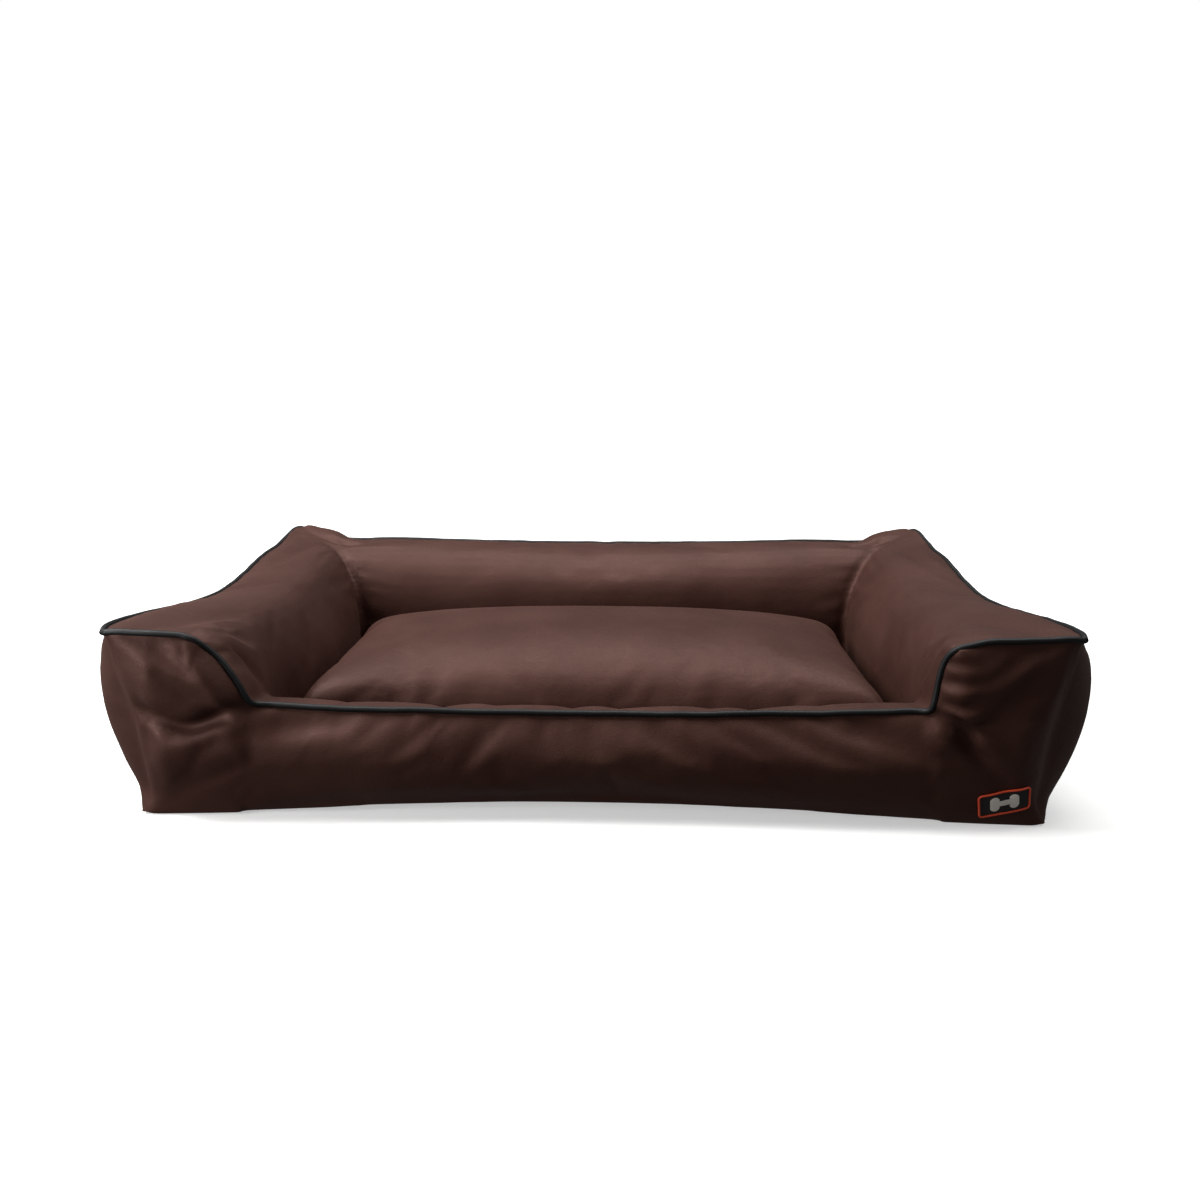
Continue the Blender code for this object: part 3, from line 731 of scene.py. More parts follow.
        # The back corners stand up in tips, and the base seams rise a little between the corners.
        tip = self.peak * bell(corner, 0.032) - self.hollow * bell(corner - 0.11, 0.06)
        moved[:, 2] += (y > 0) * tip * ease((z - 0.2) / 0.05)
        edge = np.where(y < 0, 1.0, 0.6) * swell(x / SIZES.width + 0.5) ** 0.8 * bell(from_end - 0.01, 0.045)
        edge_side = 0.5 * swell(y / SIZES.depth + 0.5) * bell(from_side - 0.01, 0.045)
        moved[:, 2] += self.front_lift * np.maximum(edge, edge_side) * (1 - ease(z / 0.11))
        return moved

    def front_belly(self, x: Points, z: Points) -> Points:
        """How far the front panel stands out. Its left wing is two lobes, and its right wing is one.

        Args:
            x: Distance across.
            z: Height.

        Returns:
            The bulge at each point.
        """
        wing = ease((np.abs(x) - 0.425) / 0.03)
        lower = self.front_bulge * np.sin(np.pi * np.clip(z / SIZES.entry_height, 0, 1) ** 1.5)
        above = np.clip((z - 0.132) / (SIZES.wall_height - 0.132), 0, 1)
        upper = self.wing_bulge * np.sin(np.pi * above**0.7)
        whole = self.front_bulge * np.sin(np.pi * np.clip(z / SIZES.wall_height, 0, 1))
        return np.where(x < 0, lower + wing * upper, lower + wing * (whole - lower))

    def simulate(self, skin: bpy.types.Object, seams: Points) -> None:
        """Fills the skin out with pressure while its seams shrink, and keeps the result on its mesh.

        Args:
            skin: The joined walls.
            seams: Points along every seam.
        """
        mesh = skin.data
        start = points_of(mesh)
        tree = search_tree(seams)
        near = np.array([tree.find(p)[2] for p in start])
        # The stitching shortens the cloth within two cells of a seam. The corners and the base stay put.
        shrink = np.clip(1 - (near - self.cell * 0.6) / (self.cell * 1.5), 0, 1)
        corner = np.hypot(SIZES.width / 2 - np.abs(start[:, 0]), SIZES.depth / 2 - np.abs(start[:, 1]))
        held = np.clip(1 - (corner - 0.012) / 0.02, 0, 1)
        held = np.maximum(held, np.where(near < self.cell * 0.8, 0.15, 0.0))
        held[start[:, 2] < 0.006] = 1.0
        uneven = np.random.default_rng(11).normal(0, self.unevenness, start.shape) * (1 - held)[:, None]
        put_points(mesh, self.settle(start) + smoothed(mesh, 5 * uneven, 4))
        before = points_of(mesh)
        moves = self.filling.blow_up(skin, shrink, held)
        broad = smoothed(mesh, moves, 50)
        put_points(mesh, before + self.broad_gain * broad + self.fine_gain * (moves - broad))


class Seam:
    """A run of seam: finds how far points are from it, and how far along it they lie."""

    def __init__(self, points: list[Vector] | Points) -> None:
        """Keeps the seam's points.

        Args:
            points: Points along the seam, in order.
        """
        self.points = np.array([tuple(p) for p in points], float)
        steps = np.linalg.norm(np.diff(self.points, axis=0), axis=1)
        self.lengths = np.concatenate([[0.0], np.cumsum(steps)])
        self.tree = search_tree(self.points)

    def near(self, points: Points) -> tuple[Points, Points, Points]:
        """Measures points against the seam.

        Args:
            points: A row for each point.

        Returns:
            Each point's distance from the seam, its distance along it, and the seam's point nearest to it.
        """
        found = [self.tree.find(p) for p in points]
        index = np.array([hit[1] for hit in found])
        return np.array([hit[2] for hit in found]), self.lengths[index], self.points[index]

    def spaced(self, step: float) -> "Seam":
        """The same seam with its points spaced evenly."""
        marks = np.linspace(0, self.lengths[-1], max(2, round(self.lengths[-1] / step)))
        return Seam(np.array([np.interp(marks, self.lengths, self.points[:, i]) for i in range(3)]).T)


class Skin:
    """A finished fabric surface that remembers where each vertex was before it was filled out."""

    def __init__(self, source: bpy.types.Object, start: Points) -> None:
        """Subdivides the surface once.

        Args:
            source: The object, which is removed.
            start: Each of its vertices before filling.
        """
        kept = source.data.attributes.new("start", "FLOAT_VECTOR", "POINT")
        kept.data.foreach_set("vector", start.astype(np.float32).ravel())
        divide = source.modifiers.new("smooth", "SUBSURF")
        divide.levels = 1
        graph = bpy.context.evaluated_depsgraph_get()
        self.mesh = bpy.data.meshes.new_from_object(source.evaluated_get(graph), depsgraph=graph)
        bpy.data.objects.remove(source)
        self.start = vectors(self.mesh.attributes["start"].data, "vector")
        self.points = points_of(self.mesh)
        self.tree = search_tree(self.start)

    def normals(self) -> Points:
        """The surface's normal at each vertex."""
        put_points(self.mesh, self.points)
        return vectors(self.mesh.vertex_normals, "vector")

    def surface(self) -> BVHTree:
        """The surface, for finding places on it."""
        faces = [tuple(face.vertices) for face in self.mesh.polygons]
        return BVHTree.FromPolygons([Vector(p) for p in self.points], faces)

    def carried(self, seam: Seam, stand_off: float, spacing: float = 0.006) -> Seam:
        """Carries a seam along with the surface, and lays it on top.

        Args:
            seam: The seam where it was before filling.
            stand_off: How far its line stands out from the surface.
            spacing: Distance between its points.

        Returns:
            The seam on the finished surface.
        """
        surface = self.surface()
        laid = []
        for point in seam.spaced(spacing).points:
            # The seam moves as the skin's nearest vertices do.
            found = self.tree.find_n(point, 8)
            weights = np.array([1 / (hit[2] + 0.002) ** 2 for hit in found])
            index = [hit[1] for hit in found]
            moves = self.points[index] - self.start[index]
            here = Vector(point + (moves * weights[:, None]).sum(0) / weights.sum())
            on, normal, _, gap = surface.find_nearest(here)
            out = (here - on).normalized() if gap > 0.0015 and (here - on).dot(normal) > 0 else normal
            laid.append(on + out * stand_off)
        line = np.array(laid)
        for _ in range(3):
            line[1:-1] = 0.5 * line[1:-1] + 0.25 * (line[:-2] + line[2:])
        return Seam(line)

    def tuck(self, seam: Seam, width: float, amount: float) -> None:
        """Draws the surface in towards a seam that lies on it.

        Args:
            seam: The seam, on the finished surface.
            width: How far its pull reaches.
            amount: The share of the way that the nearest points go.
        """
        distance, _, nearest = seam.near(self.points)
        share = amount * bell(distance, width)
        self.points += (nearest - self.points) * share[:, None]

    def pucker(self, seam: Seam, height: float, reach: float, steps: tuple[float, ...], seed: int) -> None:
        """Raises small folds that run out from a seam and die away.

        Args:
            seam: The seam, where it was before filling.
            height: The folds' height at their strongest.
            reach: How far they run.
            steps: Lengths of the waves that make up their spacing.
            seed: Sets their phases.
        """
        distance, along, _ = seam.near(self.start)
        rise = waviness(along, seed, steps) * np.exp(-distance / reach) * (1 - np.exp(-distance / 0.005))
        strength = 0.6 + 0.4 * waviness(along, seed + 1, (0.31, 0.17))
        self.points += self.normals() * (height * rise * strength)[:, None]

    def channel(self, seam: Seam, depth: float, width: float) -> None:
        """Presses in the valley along a stitched seam."""
        distance, _, _ = seam.near(self.start)
        self.points -= self.normals() * (depth * bell(distance, width))[:, None]

    def crease(self, centre: Vector, way: Vector, length: float, width: float, depth: float) -> None:
        """Presses in one fold with a raised lip on each side.

        Args:
            centre: Its middle, before filling.
            way: The way it runs.
            length: How far it runs each way before it dies out.
            width: The width of its valley.
            depth: The depth of its valley.
        """
        offset = self.start - np.array(centre)
        way = np.array(way.normalized())
        along = offset @ way
        normals = self.normals()
        across = np.cross(normals, way)
        facing = np.linalg.norm(across, axis=1)
        aside = (offset * across).sum(1) / np.maximum(facing, 0.05)
        beyond = (offset * normals).sum(1)
        shape = bell(aside, width) - 0.22 * bell(np.abs(aside) - 2.1 * width, width)
        shape *= bell(along, length) * bell(beyond, 0.04) * ease((facing - 0.4) / 0.4)
        self.points -= normals * (depth * shape)[:, None]

    def cut(self, labels: Points, names: list[str], material: bpy.types.Material) -> list[bpy.types.Object]:
        """Cuts the surface into named panels that keep its shading across the cuts.

        Args:
            labels: The number of each face's panel.
            names: The panels' names.
            material: The material they share.

        Returns:
            One object for each name.
        """
        normals = self.normals()
        faces = [tuple(face.vertices) for face in self.mesh.polygons]
        made = []
        for number, name in enumerate(names):
            chosen = [faces[i] for i in np.nonzero(labels == number)[0]]
            used = np.unique(np.array([v for face in chosen for v in face]))
            place = {int(v): i for i, v in enumerate(used)}
            mesh = bpy.data.meshes.new(name)
            mesh.from_pydata(self.points[used].tolist(), [], [[place[v] for v in face] for face in chosen])
            mesh.shade_smooth()
            mesh.normals_split_custom_set_from_vertices(normals[used].tolist())
            mesh.materials.append(material)
            panel = bpy.data.objects.new(name, mesh)
            bpy.context.scene.collection.objects.link(panel)
            made.append(panel)
        return made


def sweep(
    name: str, line: Points, radius: float, sides: int, material: bpy.types.Material
) -> bpy.types.Object:
    """A closed round tube along a line of points.

    Args:
        name: The object's name.
        line: Points of its centreline.
        radius: Its radius.
        sides: How many sides it has.
        material: Its material.

    Returns:
        The tube.
    """
    bm = bmesh.new()
    points = [Vector(p) for p in line]
    steps = [(b - a).normalized() for a, b in zip(points, points[1:])]
    across = steps[0].orthogonal().normalized()
    rings = []
    for i, point in enumerate(points):
        ahead = (steps[max(i - 1, 0)] + steps[min(i, len(steps) - 1)]).normalized()
        across = (across - ahead * across.dot(ahead)).normalized()
        up = ahead.cross(across)
        turns = [2 * math.pi * k / sides for k in range(sides)]
        ring = [point + (across * math.cos(a) + up * math.sin(a)) * radius for a in turns]
        rings.append([bm.verts.new(spot) for spot in ring])
    face_rows(bm, rings, closed=True)
    bm.faces.new(rings[0][::-1])
    bm.faces.new(rings[-1])
    bmesh.ops.recalc_face_normals(bm, faces=bm.faces[:])
    return new_mesh(name, bm, material)


class Panel(Enum):
    """The ring's panels, by the number that marks their faces."""

    FRONT_OUTER = 0
    RIGHT_OUTER = 1
    BACK_OUTER = 2
    LEFT_OUTER = 3
    FRONT_INNER = 4
    RIGHT_INNER = 5
    BACK_INNER = 6
    LEFT_INNER = 7
    BASE = 8


@dataclass
class StuffedWalls:
    """The walls' panels, cut from the filled skin, with the piping in their top seams."""

    ring: BolsterRing
    cloth: bpy.types.Material
    trim: bpy.types.Material

    def build(self) -> BVHTree:
        """Makes the panels and the piping, and puts them on the bed's body.

        Returns:
            The finished surface, for what is sewn on it.
        """
        ring = self.ring
        front, rim = Seam(ring.front_seam()), Seam(ring.rim_seam())
        stitched = ring.stitched()
        source = ring.skin()
        start = points_of(source.data)
        ring.simulate(source, np.vstack([front.points, rim.points, np.array([tuple(p) for p in stitched])]))
        skin = Skin(source, start)
        self.fold(skin, front, rim, Seam(stitched))
        pipes = []
        for name, seam in (("front_piping", front), ("rim_piping", rim)):
            laid = skin.carried(seam, SIZES.piping * 0.32)
            skin.tuck(laid, 0.0055, 0.55)
            pipes.append(sweep(name, laid.points, SIZES.piping / 2, 10, self.trim))
        for pipe in pipes:
            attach(pipe, "bed")
            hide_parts(f"{pipe.name}_cover", f"{pipe.name}_cord")
        names = [f"{panel.name.lower()}_cloth" for panel in Panel]
        for panel, piece in zip(Panel, skin.cut(self.labels(skin), names, self.cloth)):
            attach(piece, "bed")
            side = panel.name.split("_")[0].lower()
            if panel is Panel.BASE:
                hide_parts("base_sheet")
            elif panel.name.endswith("OUTER"):
                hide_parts(f"{side}_outer_panel")
            else:
                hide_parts(f"{side}_inner_panel", f"{side}_wall_stuffing")
            LOG.info("%s: %d faces", piece.name, len(piece.data.polygons))
        self.floor()
        return skin.surface()

    def floor(self) -> None:
        """The base cloth where it shows, inside the well, running on a little way under the walls."""
        well_x = SIZES.width / 2 - SIZES.wall_thickness + 0.06
        low = -SIZES.depth / 2 + SIZES.front_thickness - 0.05
        high = SIZES.depth / 2 - SIZES.wall_thickness + 0.05
        bm = bmesh.new()
        across, deep = np.linspace(-well_x, well_x, 60), np.linspace(low, high, 36)
        rows = [
            [bm.verts.new((x, y, 0.0012 + 0.0003 * math.sin(70 * x + 40 * y))) for x in across]
            for y in deep
        ]
        face_rows(bm, rows)
        sheet = new_mesh("well_floor_cloth", bm, self.cloth)
        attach(sheet, "bed")
        LOG.info("%s: %d faces", sheet.name, len(sheet.data.polygons))

    def fold(self, skin: Skin, front: Seam, rim: Seam, stitched: Seam) -> None:
        """Adds the folds that are too fine for the simulation.

        Args:
            skin: The filled surface.
            front: The front panel's top seam, before filling.
            rim: The other walls' top seam, before filling.
            stitched: The seams without piping, before filling.
        """
        skin.channel(stitched, 0.006, 0.012)
        skin.pucker(front, 0.0013, 0.03, (0.11, 0.067, 0.041), 3)
        skin.pucker(rim, 0.0012, 0.022, (0.08, 0.047, 0.03), 8)
        skin.pucker(stitched, 0.0006, 0.022, (0.07, 0.043), 5)
        for fold in self.folds:
            skin.crease(*fold)

    @property
    def folds(self) -> list[tuple[Vector, Vector, float, float, float]]:
        """Each deep fold's middle, direction, reach, width and depth.

        Returns:
            The folds.
        """
        face = -SIZES.depth / 2 + 0.01
        notch = SIZES.width / 2 - SIZES.wall_thickness
        sill = SIZES.entry_height
        made = [
            (Vector((-notch - 0.105, face, sill - 0.009)), Vector((1, 0, -0.36)), 0.045, 0.01, 0.008),
            (Vector((-notch - 0.036, face, sill - 0.009)), Vector((1, 0, 0.38)), 0.046, 0.01, 0.01),
        ]
        # Folds that fan out from the right wing's notch: place, slope in degrees, reach, width and depth.
        for away, rise, turn, reach, width, depth in (
            (0.034, -0.028, -44, 0.05, 0.009, 0.012),
            (0.03, -0.006, -12, 0.034, 0.007, 0.008),
            (0.02, 0.018, 18, 0.024, 0.007, 0.007),
            (0.014, 0.044, 14, 0.02, 0.006, 0.006),
            (0.012, 0.068, -6, 0.016, 0.006, 0.005),
        ):
            way = Vector((math.cos(math.radians(turn)), 0, math.sin(math.radians(turn))))
            made.append((Vector((notch + away, face, sill + rise)), way, reach, width, depth))
        back = SIZES.depth / 2 - 0.06
        for side in (-1, 1):
            top = Vector((side * (SIZES.width / 2 - 0.105), back, SIZES.wall_height))
            made.append((top, Vector((-side * 1.0, -0.25, -0.1)), 0.045, 0.009, 0.01))
        return made

    def labels(self, skin: Skin) -> Points:
        """Says which panel each face of the skin belongs to.

        Args:
            skin: The filled surface.

        Returns:
            The panel's number for each face.
        """
        faces = [tuple(face.vertices) for face in skin.mesh.polygons]
        corners = np.array([[skin.start[v] for v in face[:4]] for face in faces])
        middle = corners.mean(1)
        facing = np.cross(corners[:, 2] - corners[:, 0], corners[:, 3] - corners[:, 1])
        facing /= np.maximum(np.linalg.norm(facing, axis=1), 1e-12)[:, None]
        x, y, z = middle.T
        from_side, from_end = SIZES.width / 2 - np.abs(x), SIZES.depth / 2 - np.abs(y)
        out_x, out_y = facing[:, 0] * np.sign(x), facing[:, 1] * np.sign(y)
        # The mitres part the back from the sides, and the notches part the entry from the wings.
        back = (y > 0) & (from_end < from_side)
        entry = (y < -0.2) & (z < SIZES.entry_height + 0.012) & (np.abs(facing[:, 0]) < 0.6)
        entry &= np.abs(x) < SIZES.width / 2 - SIZES.wall_thickness + 0.012
        labels = np.where(x < 0, Panel.LEFT_INNER.value, Panel.RIGHT_INNER.value)
        labels[back] = Panel.BACK_INNER.value
        labels[entry] = Panel.FRONT_INNER.value
        upright = np.abs(facing[:, 2]) < 0.75
        on_side = (from_side < 0.04) & (out_x > 0.4) & upright & (out_x >= out_y)
        labels[on_side] = np.where(x[on_side] < 0, Panel.LEFT_OUTER.value, Panel.RIGHT_OUTER.value)
        on_end = (out_y > 0.4) & upright & (out_y > out_x)
        labels[(y > 0) & (from_end < 0.03) & on_end] = Panel.BACK_OUTER.value
        labels[(y < 0) & (from_end < 0.04) & on_end] = Panel.FRONT_OUTER.value
        labels[(z < 0.006) & (facing[:, 2] < -0.7)] = Panel.BASE.value
        return labels


@dataclass
class LooseCushion:
    """The cushion in the well: a pillow with a knife-edge seam, and a flat back seam where the zip is."""

    cloth: bpy.types.Material
    cell: float = 0.0085  # size of the mesh that is filled
    filling: Filling = Filling(pressure=1.6, seam_shrink=0.02, tension=50, quality=5, frames=16)
    broad_gain: float = 0.5
    fine_gain: float = 0.45
    furthest: float = 0.014  # how far the filling may move a point
    slack: float = 0.006  # the gap left to the walls
    shoulder: float = 0.66  # share of its height that it gains close to its seam

    def outline(self, a: Points, b: Points) -> tuple[Points, Points]:
        """X and Y of the cushion's plan, from -1 to 1 across and back.

        Args:
            a: The place across.
            b: The place back.

        Returns:
            X and Y, in metres.
        """
        front = -SIZES.depth / 2 + SIZES.front_thickness + self.slack
        y = front + (SIZES.cushion_back - front) * (b + 1) / 2
        half = SIZES.width / 2 - SIZES.wall_thickness - self.slack - 0.004 * swell(y / SIZES.depth + 0.5)
        x = a * half
        front = front + 0.022 * swell(x / SIZES.width + 0.5)
        return x, front + (SIZES.cushion_back - front) * (b + 1) / 2

    def plain(self) -> bpy.types.Object:
        """The pillow before it is filled.

        Returns:
            The pillow.
        """
        bm = bmesh.new()
        columns, rows = 48, 32
        across = np.sin(np.pi / 2 * np.linspace(-1, 1, columns + 1))
        deep = np.sin(np.pi / 2 * np.linspace(-1, 1, rows + 1))
        sheets = {}
        for way in (1, -1):
            for i, a in enumerate(across):
                for j, b in enumerate(deep):
                    rim = i in (0, columns) or j in (0, rows)
                    if rim and way < 0:
                        sheets[way, i, j] = sheets[1, i, j]
                        continue
                    x, y = self.outline(a, b)
                    sheets[way, i, j] = bm.verts.new((x, y, SIZES.cushion_seam + self.rise(a, b, way)))
        for way in (1, -1):
            for i in range(columns):
                for j in range(rows):
                    corners = ((i, j), (i + 1, j), (i + 1, j + 1), (i, j + 1))
                    bm.faces.new([sheets[way, *corner] for corner in corners][::way])
        bmesh.ops.recalc_face_normals(bm, faces=bm.faces[:])
        pillow = new_mesh("cushion_skin", bm, None)
        pillow.data.remesh_voxel_size = self.cell * 1.0
        bpy.context.view_layer.objects.active = pillow
        bpy.ops.object.voxel_remesh()
        return pillow

    def rise(self, a: float, b: float, way: int) -> float:
        """Height over the seam at a place on the plan, from -1 to 1 across and back.

        Args:
            a: The place across.
            b: The place back.
            way: 1 for the top, -1 for the bottom.

        Returns:
            The height, which is negative on the bottom.
        """
        if way < 0:
            return -(SIZES.cushion_seam - 0.004) * ((1 - abs(a) ** 7) * (1 - abs(b) ** 7)) ** 0.55
        shoulder = ((1 - abs(a) ** 18) * (1 - abs(b) ** 14)) ** 0.4
        dome = (1 - abs(a) ** 2.4) * (1 - abs(b) ** 2.4)
        tall = SIZES.cushion_crown - SIZES.cushion_seam
        return tall * (self.shoulder * shoulder + (1 - self.shoulder) * dome)

    def seam(self) -> Seam:
        """The seam round the cushion, from its front left corner.

        Returns:
            The seam, before filling.
        """
        marks = np.linspace(-1, 1, 90)
        ones = np.ones_like(marks)
        sides = [(marks, -ones), (ones, marks), (-marks, ones), (-ones, -marks)]
        points = []
        for a, b in sides:
            x, y = self.outline(a, b)
            points += [Vector((px, py, SIZES.cushion_seam)) for px, py in zip(x[:-1], y[:-1])]
        return Seam(points)

    def fill(self, pillow: bpy.types.Object, seam: Seam) -> None:
        """Fills the pillow out, held where the zip is sewn in and where it rests on the base.

        Args:
            pillow: The pillow before it is filled.
            seam: The seam round it.
        """
        start = points_of(pillow.data)
        distance, _, _ = seam.near(start)
        zipped = (start[:, 1] > SIZES.cushion_back - 0.02) & (np.abs(start[:, 0]) < SIZES.zip_half + 0.02)
        zipped &= np.abs(start[:, 2] - SIZES.cushion_seam) < 0.018
        shrink = np.clip(1 - (distance - self.cell * 0.6) / (self.cell * 1.5), 0, 1)
        held = np.where(distance < self.cell * 0.9, 0.35, 0.0)
        held[start[:, 2] < 0.008] = 0.8
        held[zipped] = 1.0
        moves = self.filling.blow_up(pillow, shrink, held)
        broad = smoothed(pillow.data, moves, 40)
        moves = self.broad_gain * broad + self.fine_gain * (moves - broad)
        far = np.linalg.norm(moves, axis=1)[:, None]
        put_points(pillow.data, start + moves * np.minimum(1, self.furthest / np.maximum(far, 1e-6)))

    def settle(self, skin: Skin, seam: Seam) -> None:
        """Rests the cushion on the base, adds its fine folds and flattens its back where the zip is.

        Args:
            skin: The filled pillow's surface.
            seam: The seam round it, before filling.
        """
        # It rests on the well's floor cloth, and stays flat where the zip is sewn in.
        skin.points[:, 2] = np.maximum(skin.points[:, 2], 0.0024)
        behind = skin.start[:, 1] > SIZES.cushion_back - 0.03
        band = bell(skin.start[:, 2] - SIZES.cushion_seam, 0.02) * behind
        band *= ease((SIZES.zip_half + 0.03 - np.abs(skin.start[:, 0])) / 0.03)
        skin.pucker(seam, 0.0007, 0.045, (0.13, 0.081, 0.047), 21)
        near_band = (band > 0.35) & (np.abs(skin.points[:, 2] - SIZES.cushion_seam) < 0.016)
        skin.points[near_band, 1] = SIZES.cushion_back - 0.0012
        skin.points[:, 1] = np.minimum(skin.points[:, 1], SIZES.cushion_back + 0.012)

    def build(self) -> None:
        """Makes the covers and puts them on the cushion's body."""
        pillow = self.plain()
        seam = self.seam()
        start = points_of(pillow.data)
        self.fill(pillow, seam)
        skin = Skin(pillow, start)
        self.settle(skin, seam)
        middle = np.array([skin.start[list(face.vertices)].mean(0)[2] for face in skin.mesh.polygons])
        labels = (middle < SIZES.cushion_seam).astype(int)
        top, bottom = skin.cut(labels, ["cushion_top_cloth", "cushion_bottom_cloth"], self.cloth)
        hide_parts("cushion_top_cover", "cushion_stuffing")
        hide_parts("cushion_bottom_cover")
        for piece in (top, bottom):
            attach(piece, "cushion")
            LOG.info("%s: %d faces", piece.name, len(piece.data.polygons))


@dataclass
class CushionZip:
    """The zip in the cushion's back seam. Its tapes, stops, slider and puller are the CAD's own solids."""

    tape: bpy.types.Material
    coil: bpy.types.Material
    metal: bpy.types.Material
    pitch: float = 0.0025
    wire: float = 0.00038

    def turns(self, name: str, node: str, way: int) -> bpy.types.Object:
        """One row of coil wound along the zip, in the place of its plain bar.

        Args:
            name: The coil's name.
            node: The plain bar that it stands for.
            way: 1 or -1, the way that it is wound.

        Returns:
            The coil.
        """
        low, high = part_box(node)
        middle_y, middle_z = (low.y + high.y) / 2, (low.z + high.z) / 2
        reach_y, reach_z = (high.y - low.y) / 2 - self.wire, (high.z - low.z) / 2 - self.wire
        count = round((high.x - low.x - 2 * self.wire) / self.pitch)
        angles = np.linspace(0, 2 * np.pi * count, count * 8 + 1)
        x = np.linspace(low.x + self.wire, high.x - self.wire, len(angles))
        line = np.array([x, middle_y + reach_y * np.sin(angles), middle_z + way * reach_z * np.cos(angles)]).T
        return sweep(name, line, self.wire, 4, self.coil)

    def build(self) -> None:
        """Winds the coils and dresses the rest."""
        for node, way in (("zip_upper_coil", 1), ("zip_lower_coil", -1)):
            piece = self.turns(f"{node}_turns", node, way)
            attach(piece, "cushion")
            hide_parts(node)
            LOG.info("%s: %d faces", piece.name, len(piece.data.polygons))
        dressed = {"tape": self.tape, "stop": self.metal, "slider": self.metal, "puller": self.metal}
        for name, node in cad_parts.items():
            word = name.split("_")[-1]
            if name.startswith("zip_") and word in dressed:
                node.data.materials.clear()
                node.data.materials.append(dressed[word])


@dataclass
class WovenLabel:
    """A small woven label sewn flat by the front right corner, with a bone emblem in raised thread."""

    patch: bpy.types.Material
    thread: bpy.types.Material
    border: bpy.types.Material
    width: float = 0.066
    height: float = 0.034
    tilt: float = 12.0  # degrees
    bone_length: float = 0.036
    shank: float = 0.0075
    knob: float = 0.0058

    def lay(self, surface: BVHTree, u: float, v: float, lift: float) -> Vector:
        """A point on the front panel, from its place on the label and its height over the cloth.

        Args:
            surface: The finished walls.
            u: The place along the label, from its middle.
            v: The place up the label, from its middle.
            lift: The height over the cloth.

        Returns:
            The point.
        """
        low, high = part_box("label_patch")
        turn = math.radians(self.tilt)
        x = (low.x + high.x) / 2 + u * math.cos(turn) - v * math.sin(turn)
        z = (low.z + high.z) / 2 + u * math.sin(turn) + v * math.cos(turn)
        hit, normal, _, _ = surface.ray_cast(Vector((x, -0.6, z)), Vector((0, 1, 0)))
        return hit + normal * lift

    def cloth(self, surface: BVHTree) -> bpy.types.Object:
        """The patch: a grid laid on the panel's cloth, with its corners a little rounded.

        Args:
            surface: The finished walls.

        Returns:
            The patch.
        """
        bm = bmesh.new()
        grid = []
        for b in np.linspace(-1, 1, 11):
            row = []
            for a in np.linspace(-1, 1, 21):
                u, v = a * self.width / 2 * (1 - 0.03 * b**6), b * self.height / 2 * (1 - 0.05 * a**6)
                row.append(bm.verts.new(self.lay(surface, u, v, 0.0012)))
            grid.append(row)
        face_rows(bm, grid)
        piece = new_mesh("label_cloth_patch", bm, self.patch)
        solidify = piece.modifiers.new("thickness", "SOLIDIFY")
        solidify.thickness = 0.0008
        solidify.offset = -1
        return piece

    def build(self, surface: BVHTree) -> None:
        """Sews the label on the finished front panel.

        Args:
            surface: The finished walls.
        """
        patch = self.cloth(surface)
        edge = [self.lay(surface, u, v, 0.0014) for u, v in self.edge_line()]
        border = sweep("label_border_stitching", np.array(edge), 0.0015, 6, self.border)
        emblem = self.bone(surface)
        for piece in (patch, border, emblem):
            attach(piece, "bed")
        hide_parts("label_patch")
        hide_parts("label_emblem")
        LOG.info("label: %d faces", len(patch.data.polygons))

    def edge_line(self) -> list[tuple[float, float]]:
        """The border's line round the patch, with rounded corners.

        Returns:
            Places on the label, in order.
        """
        half, tall, turn = self.width / 2 - 0.0012, self.height / 2 - 0.0012, 0.004
        made = []
        for quarter, (a, b) in enumerate(((1, 1), (-1, 1), (-1, -1), (1, -1))):
            for step in np.linspace(0, math.pi / 2, 6):
                angle = quarter * math.pi / 2 + step
                u = a * (half - turn) + turn * math.cos(angle)
                made.append((u, b * (tall - turn) + turn * math.sin(angle)))
        made.append(made[0])
        marks = Seam([Vector((u, v, 0)) for u, v in made]).spaced(0.0012).points
        return [(float(u), float(v)) for u, v, _ in marks]

    def bone_reach(self, x: float) -> float:
        """Half the bone's height at a distance from its middle: a shank between two pairs of knobs.

        Args:
            x: The distance along the bone.

        Returns:
            Half the height there.
        """
        reach = self.shank / 2
        from_knob = abs(x) - (self.bone_length / 2 - self.knob)
        if abs(from_knob) < self.knob:
            reach = max(reach, 0.8 * self.knob + math.sqrt(self.knob**2 - from_knob**2))
        return reach

    def bone(self, surface: BVHTree) -> bpy.types.Object:
        """The emblem, a bone worked in rows of satin stitch, each a small ridge of its own.

        Args:
            surface: The finished walls.

        Returns:
            The emblem.
        """
        bm = bmesh.new()
        rows, steps = 60, 10
        half = self.bone_length / rows * 0.62
        for i in range(rows):
            x = ((i + 0.5) / rows - 0.5) * self.bone_length
            reach = self.bone_reach(x)
            ridge = []
            for j in range(steps + 1):
                v = (j / steps * 2 - 1) * reach
                lift = 0.0016 + 0.0007 * math.sqrt(max(0.0, 1 - (v / (reach * 1.02)) ** 2))
                places = [
                    self.lay(surface, x + side * half, v, lift - 0.0003 * abs(side)) for side in (-1, 0, 1)
                ]
                ridge.append([bm.verts.new(place) for place in places])
            face_rows(bm, ridge)
        return new_mesh("label_bone_emblem", bm, self.thread)


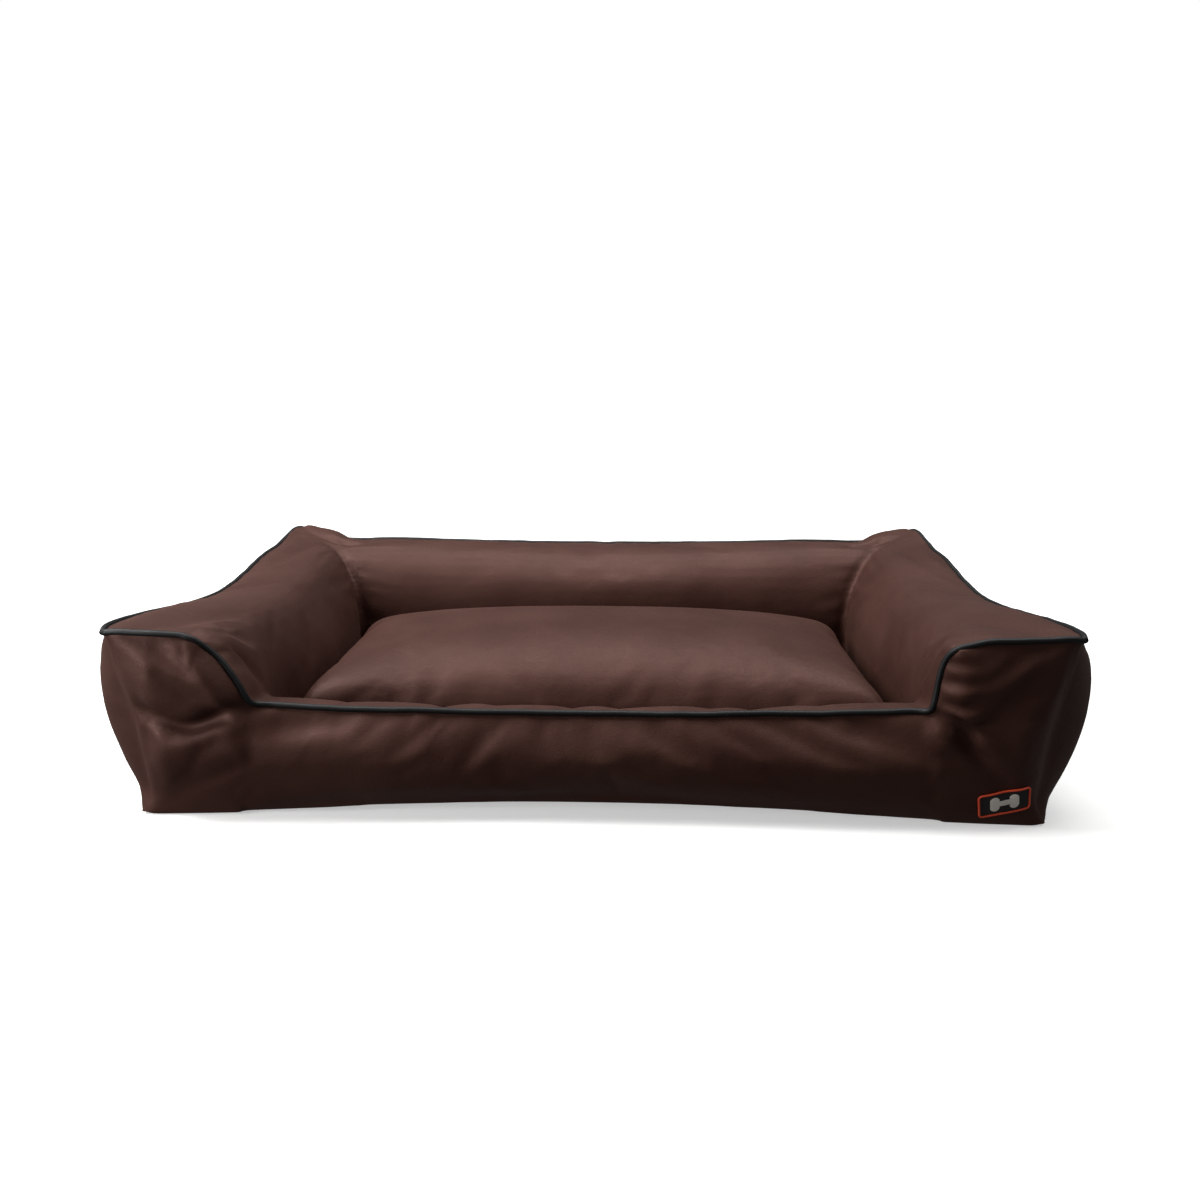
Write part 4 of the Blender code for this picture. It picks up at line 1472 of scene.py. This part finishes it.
@dataclass
class Studio:
    """The floor, the lights and the camera."""

    floor_reach: float = 14.0
    focal_length: float = 30.0  # in mm, on a 36 mm wide frame
    camera_height: float = 0.556
    camera_gap: float = 1.17  # from the bed's front
    camera_turn: float = 1.86  # degrees round the bed
    camera_tilt: float = 21.5  # degrees down

    def build(self) -> None:
        """Sets everything up."""
        self.room()
        middle = (0.0, 0.0, 0.1)
        # The key light hangs on the left, so the front and the right side are the darker ones.
        self.light("key_light", (-2.2, -0.25, 2.2), middle, 1.1, 84)
        self.light("fill_light", (-1.2, -0.95, 0.42), (-0.5, -0.4, 0.15), 0.4, 8)
        self.light("top_light", (0.2, 0.6, 3.2), middle, 2.0, 16)
        self.light("overhead_light", (0.0, 1.6, 5.0), (0.0, 5.0, 1.6), 6.0, 560)
        world = bpy.data.worlds.new("studio_world")
        world.use_nodes = True
        tree = world.node_tree
        # White where the camera sees it, and dim as a light, so that the lamps shape the folds.
        seen = add_node(tree, "ShaderNodeLightPath").outputs["Is Camera Ray"]
        strength = add_node(tree, "ShaderNodeMapRange", {"To Min": 0.14, "To Max": 1.0}, Value=seen)
        tree.nodes["Background"].inputs["Color"].default_value = (1.0, 1.0, 1.0, 1.0)
        tree.links.new(strength.outputs[0], tree.nodes["Background"].inputs["Strength"])
        bpy.context.scene.world = world
        bpy.context.scene.view_settings.view_transform = "Standard"
        self.camera()

    def room(self) -> None:
        """A plain white paper floor that runs out of sight all round."""
        paper, tree, shader, place = blank("matt_white_paper")
        set_inputs(shader, Base_Color=linear("D2D2D0"), Roughness=0.9, Emission_Color=linear("FFFFFF"))
        # A glow that grows away from the bed keeps the paper pale where the lamps don't reach.
        away = add_node(tree, "ShaderNodeVectorMath", {"operation": "LENGTH"}, Vector=place)
        ramp = {"From Min": 1.3, "From Max": 3.2, "To Min": 0.45, "To Max": 1.0}
        glow = add_node(tree, "ShaderNodeMapRange", ramp, Value=away.outputs["Value"]).outputs[0]
        tree.links.new(glow, shader.inputs["Emission Strength"])
        bm = bmesh.new()
        bmesh.ops.create_grid(bm, x_segments=2, y_segments=2, size=self.floor_reach)
        made = new_mesh("studio_floor", bm, paper)
        made.location.z = -0.0004
        # The paper isn't seen by the cloth, whose dark undersides would turn grey with it.
        made.visible_glossy = made.visible_diffuse = False

    def light(
        self,
        name: str,
        place: tuple[float, float, float],
        aim: tuple[float, float, float],
        size: float,
        power: float,
    ) -> None:
        """A square soft light.

        Args:
            name: Its name.
            place: Where it hangs.
            aim: The point that it faces.
            size: Its side, in metres.
            power: Its power, in watts.
        """
        lamp = bpy.data.lights.new(name, "AREA")
        lamp.energy = power
        lamp.size = size
        made = bpy.data.objects.new(name, lamp)
        made.location = place
        made.rotation_euler = (Vector(aim) - Vector(place)).to_track_quat("-Z", "Y").to_euler()
        # Only its light shows, so a lamp that hangs near the bed doesn't hide it from the side.
        made.visible_camera = False
        bpy.context.scene.collection.objects.link(made)

    def camera(self) -> None:
        """The camera, a little to the right of the bed's middle and looking down at it."""
        lens = bpy.data.cameras.new("camera")
        lens.sensor_width = 36.0
        lens.lens = self.focal_length
        lens.shift_x = 0.0025
        lens.shift_y = 0.129
        lens.clip_start = 0.05
        camera = bpy.data.objects.new("camera", lens)
        turn = Matrix.Rotation(math.radians(self.camera_turn), 3, "Z")
        camera.location = turn @ Vector((0.0, -SIZES.depth / 2 - self.camera_gap, self.camera_height))
        down = math.radians(self.camera_tilt)
        aim = turn @ Vector((0.0, math.cos(down), -math.sin(down)))
        camera.rotation_euler = aim.to_track_quat("-Z", "Y").to_euler()
        bpy.context.scene.collection.objects.link(camera)
        bpy.context.scene.camera = camera


def main() -> None:
    """Builds the bed's pieces in order, then the studio."""
    logging.basicConfig(level=logging.INFO, format="%(name)s: %(message)s")
    nylon = SatinNylon().build()
    trim = PipingCloth().build()
    surface = StuffedWalls(BolsterRing(), nylon, trim).build()
    LooseCushion(nylon).build()
    CushionZip(
        tape=PlainFinish("woven_zip_tape", "2B1F1D", 0.75, 0.0, 0.6).build(),
        coil=PlainFinish("moulded_nylon_coil", "1E1715", 0.35, 0.0, 0.4).build(),
        metal=PlainFinish("plated_zinc", "57504C", 0.35, 1.0, 0.3).build(),
    ).build()
    WovenLabel(
        patch=PlainFinish("woven_label_cloth", "191211", 0.7, 0.0, 0.6).build(),
        thread=PlainFinish("cream_embroidery_thread", "F6EEE4", 0.45, 0.0, 0.5).build(),
        border=PlainFinish("red_embroidery_thread", "E8502E", 0.45, 0.0, 0.5).build(),
    ).build(surface)
    Studio().build()


if __name__ == "__main__":
    main()
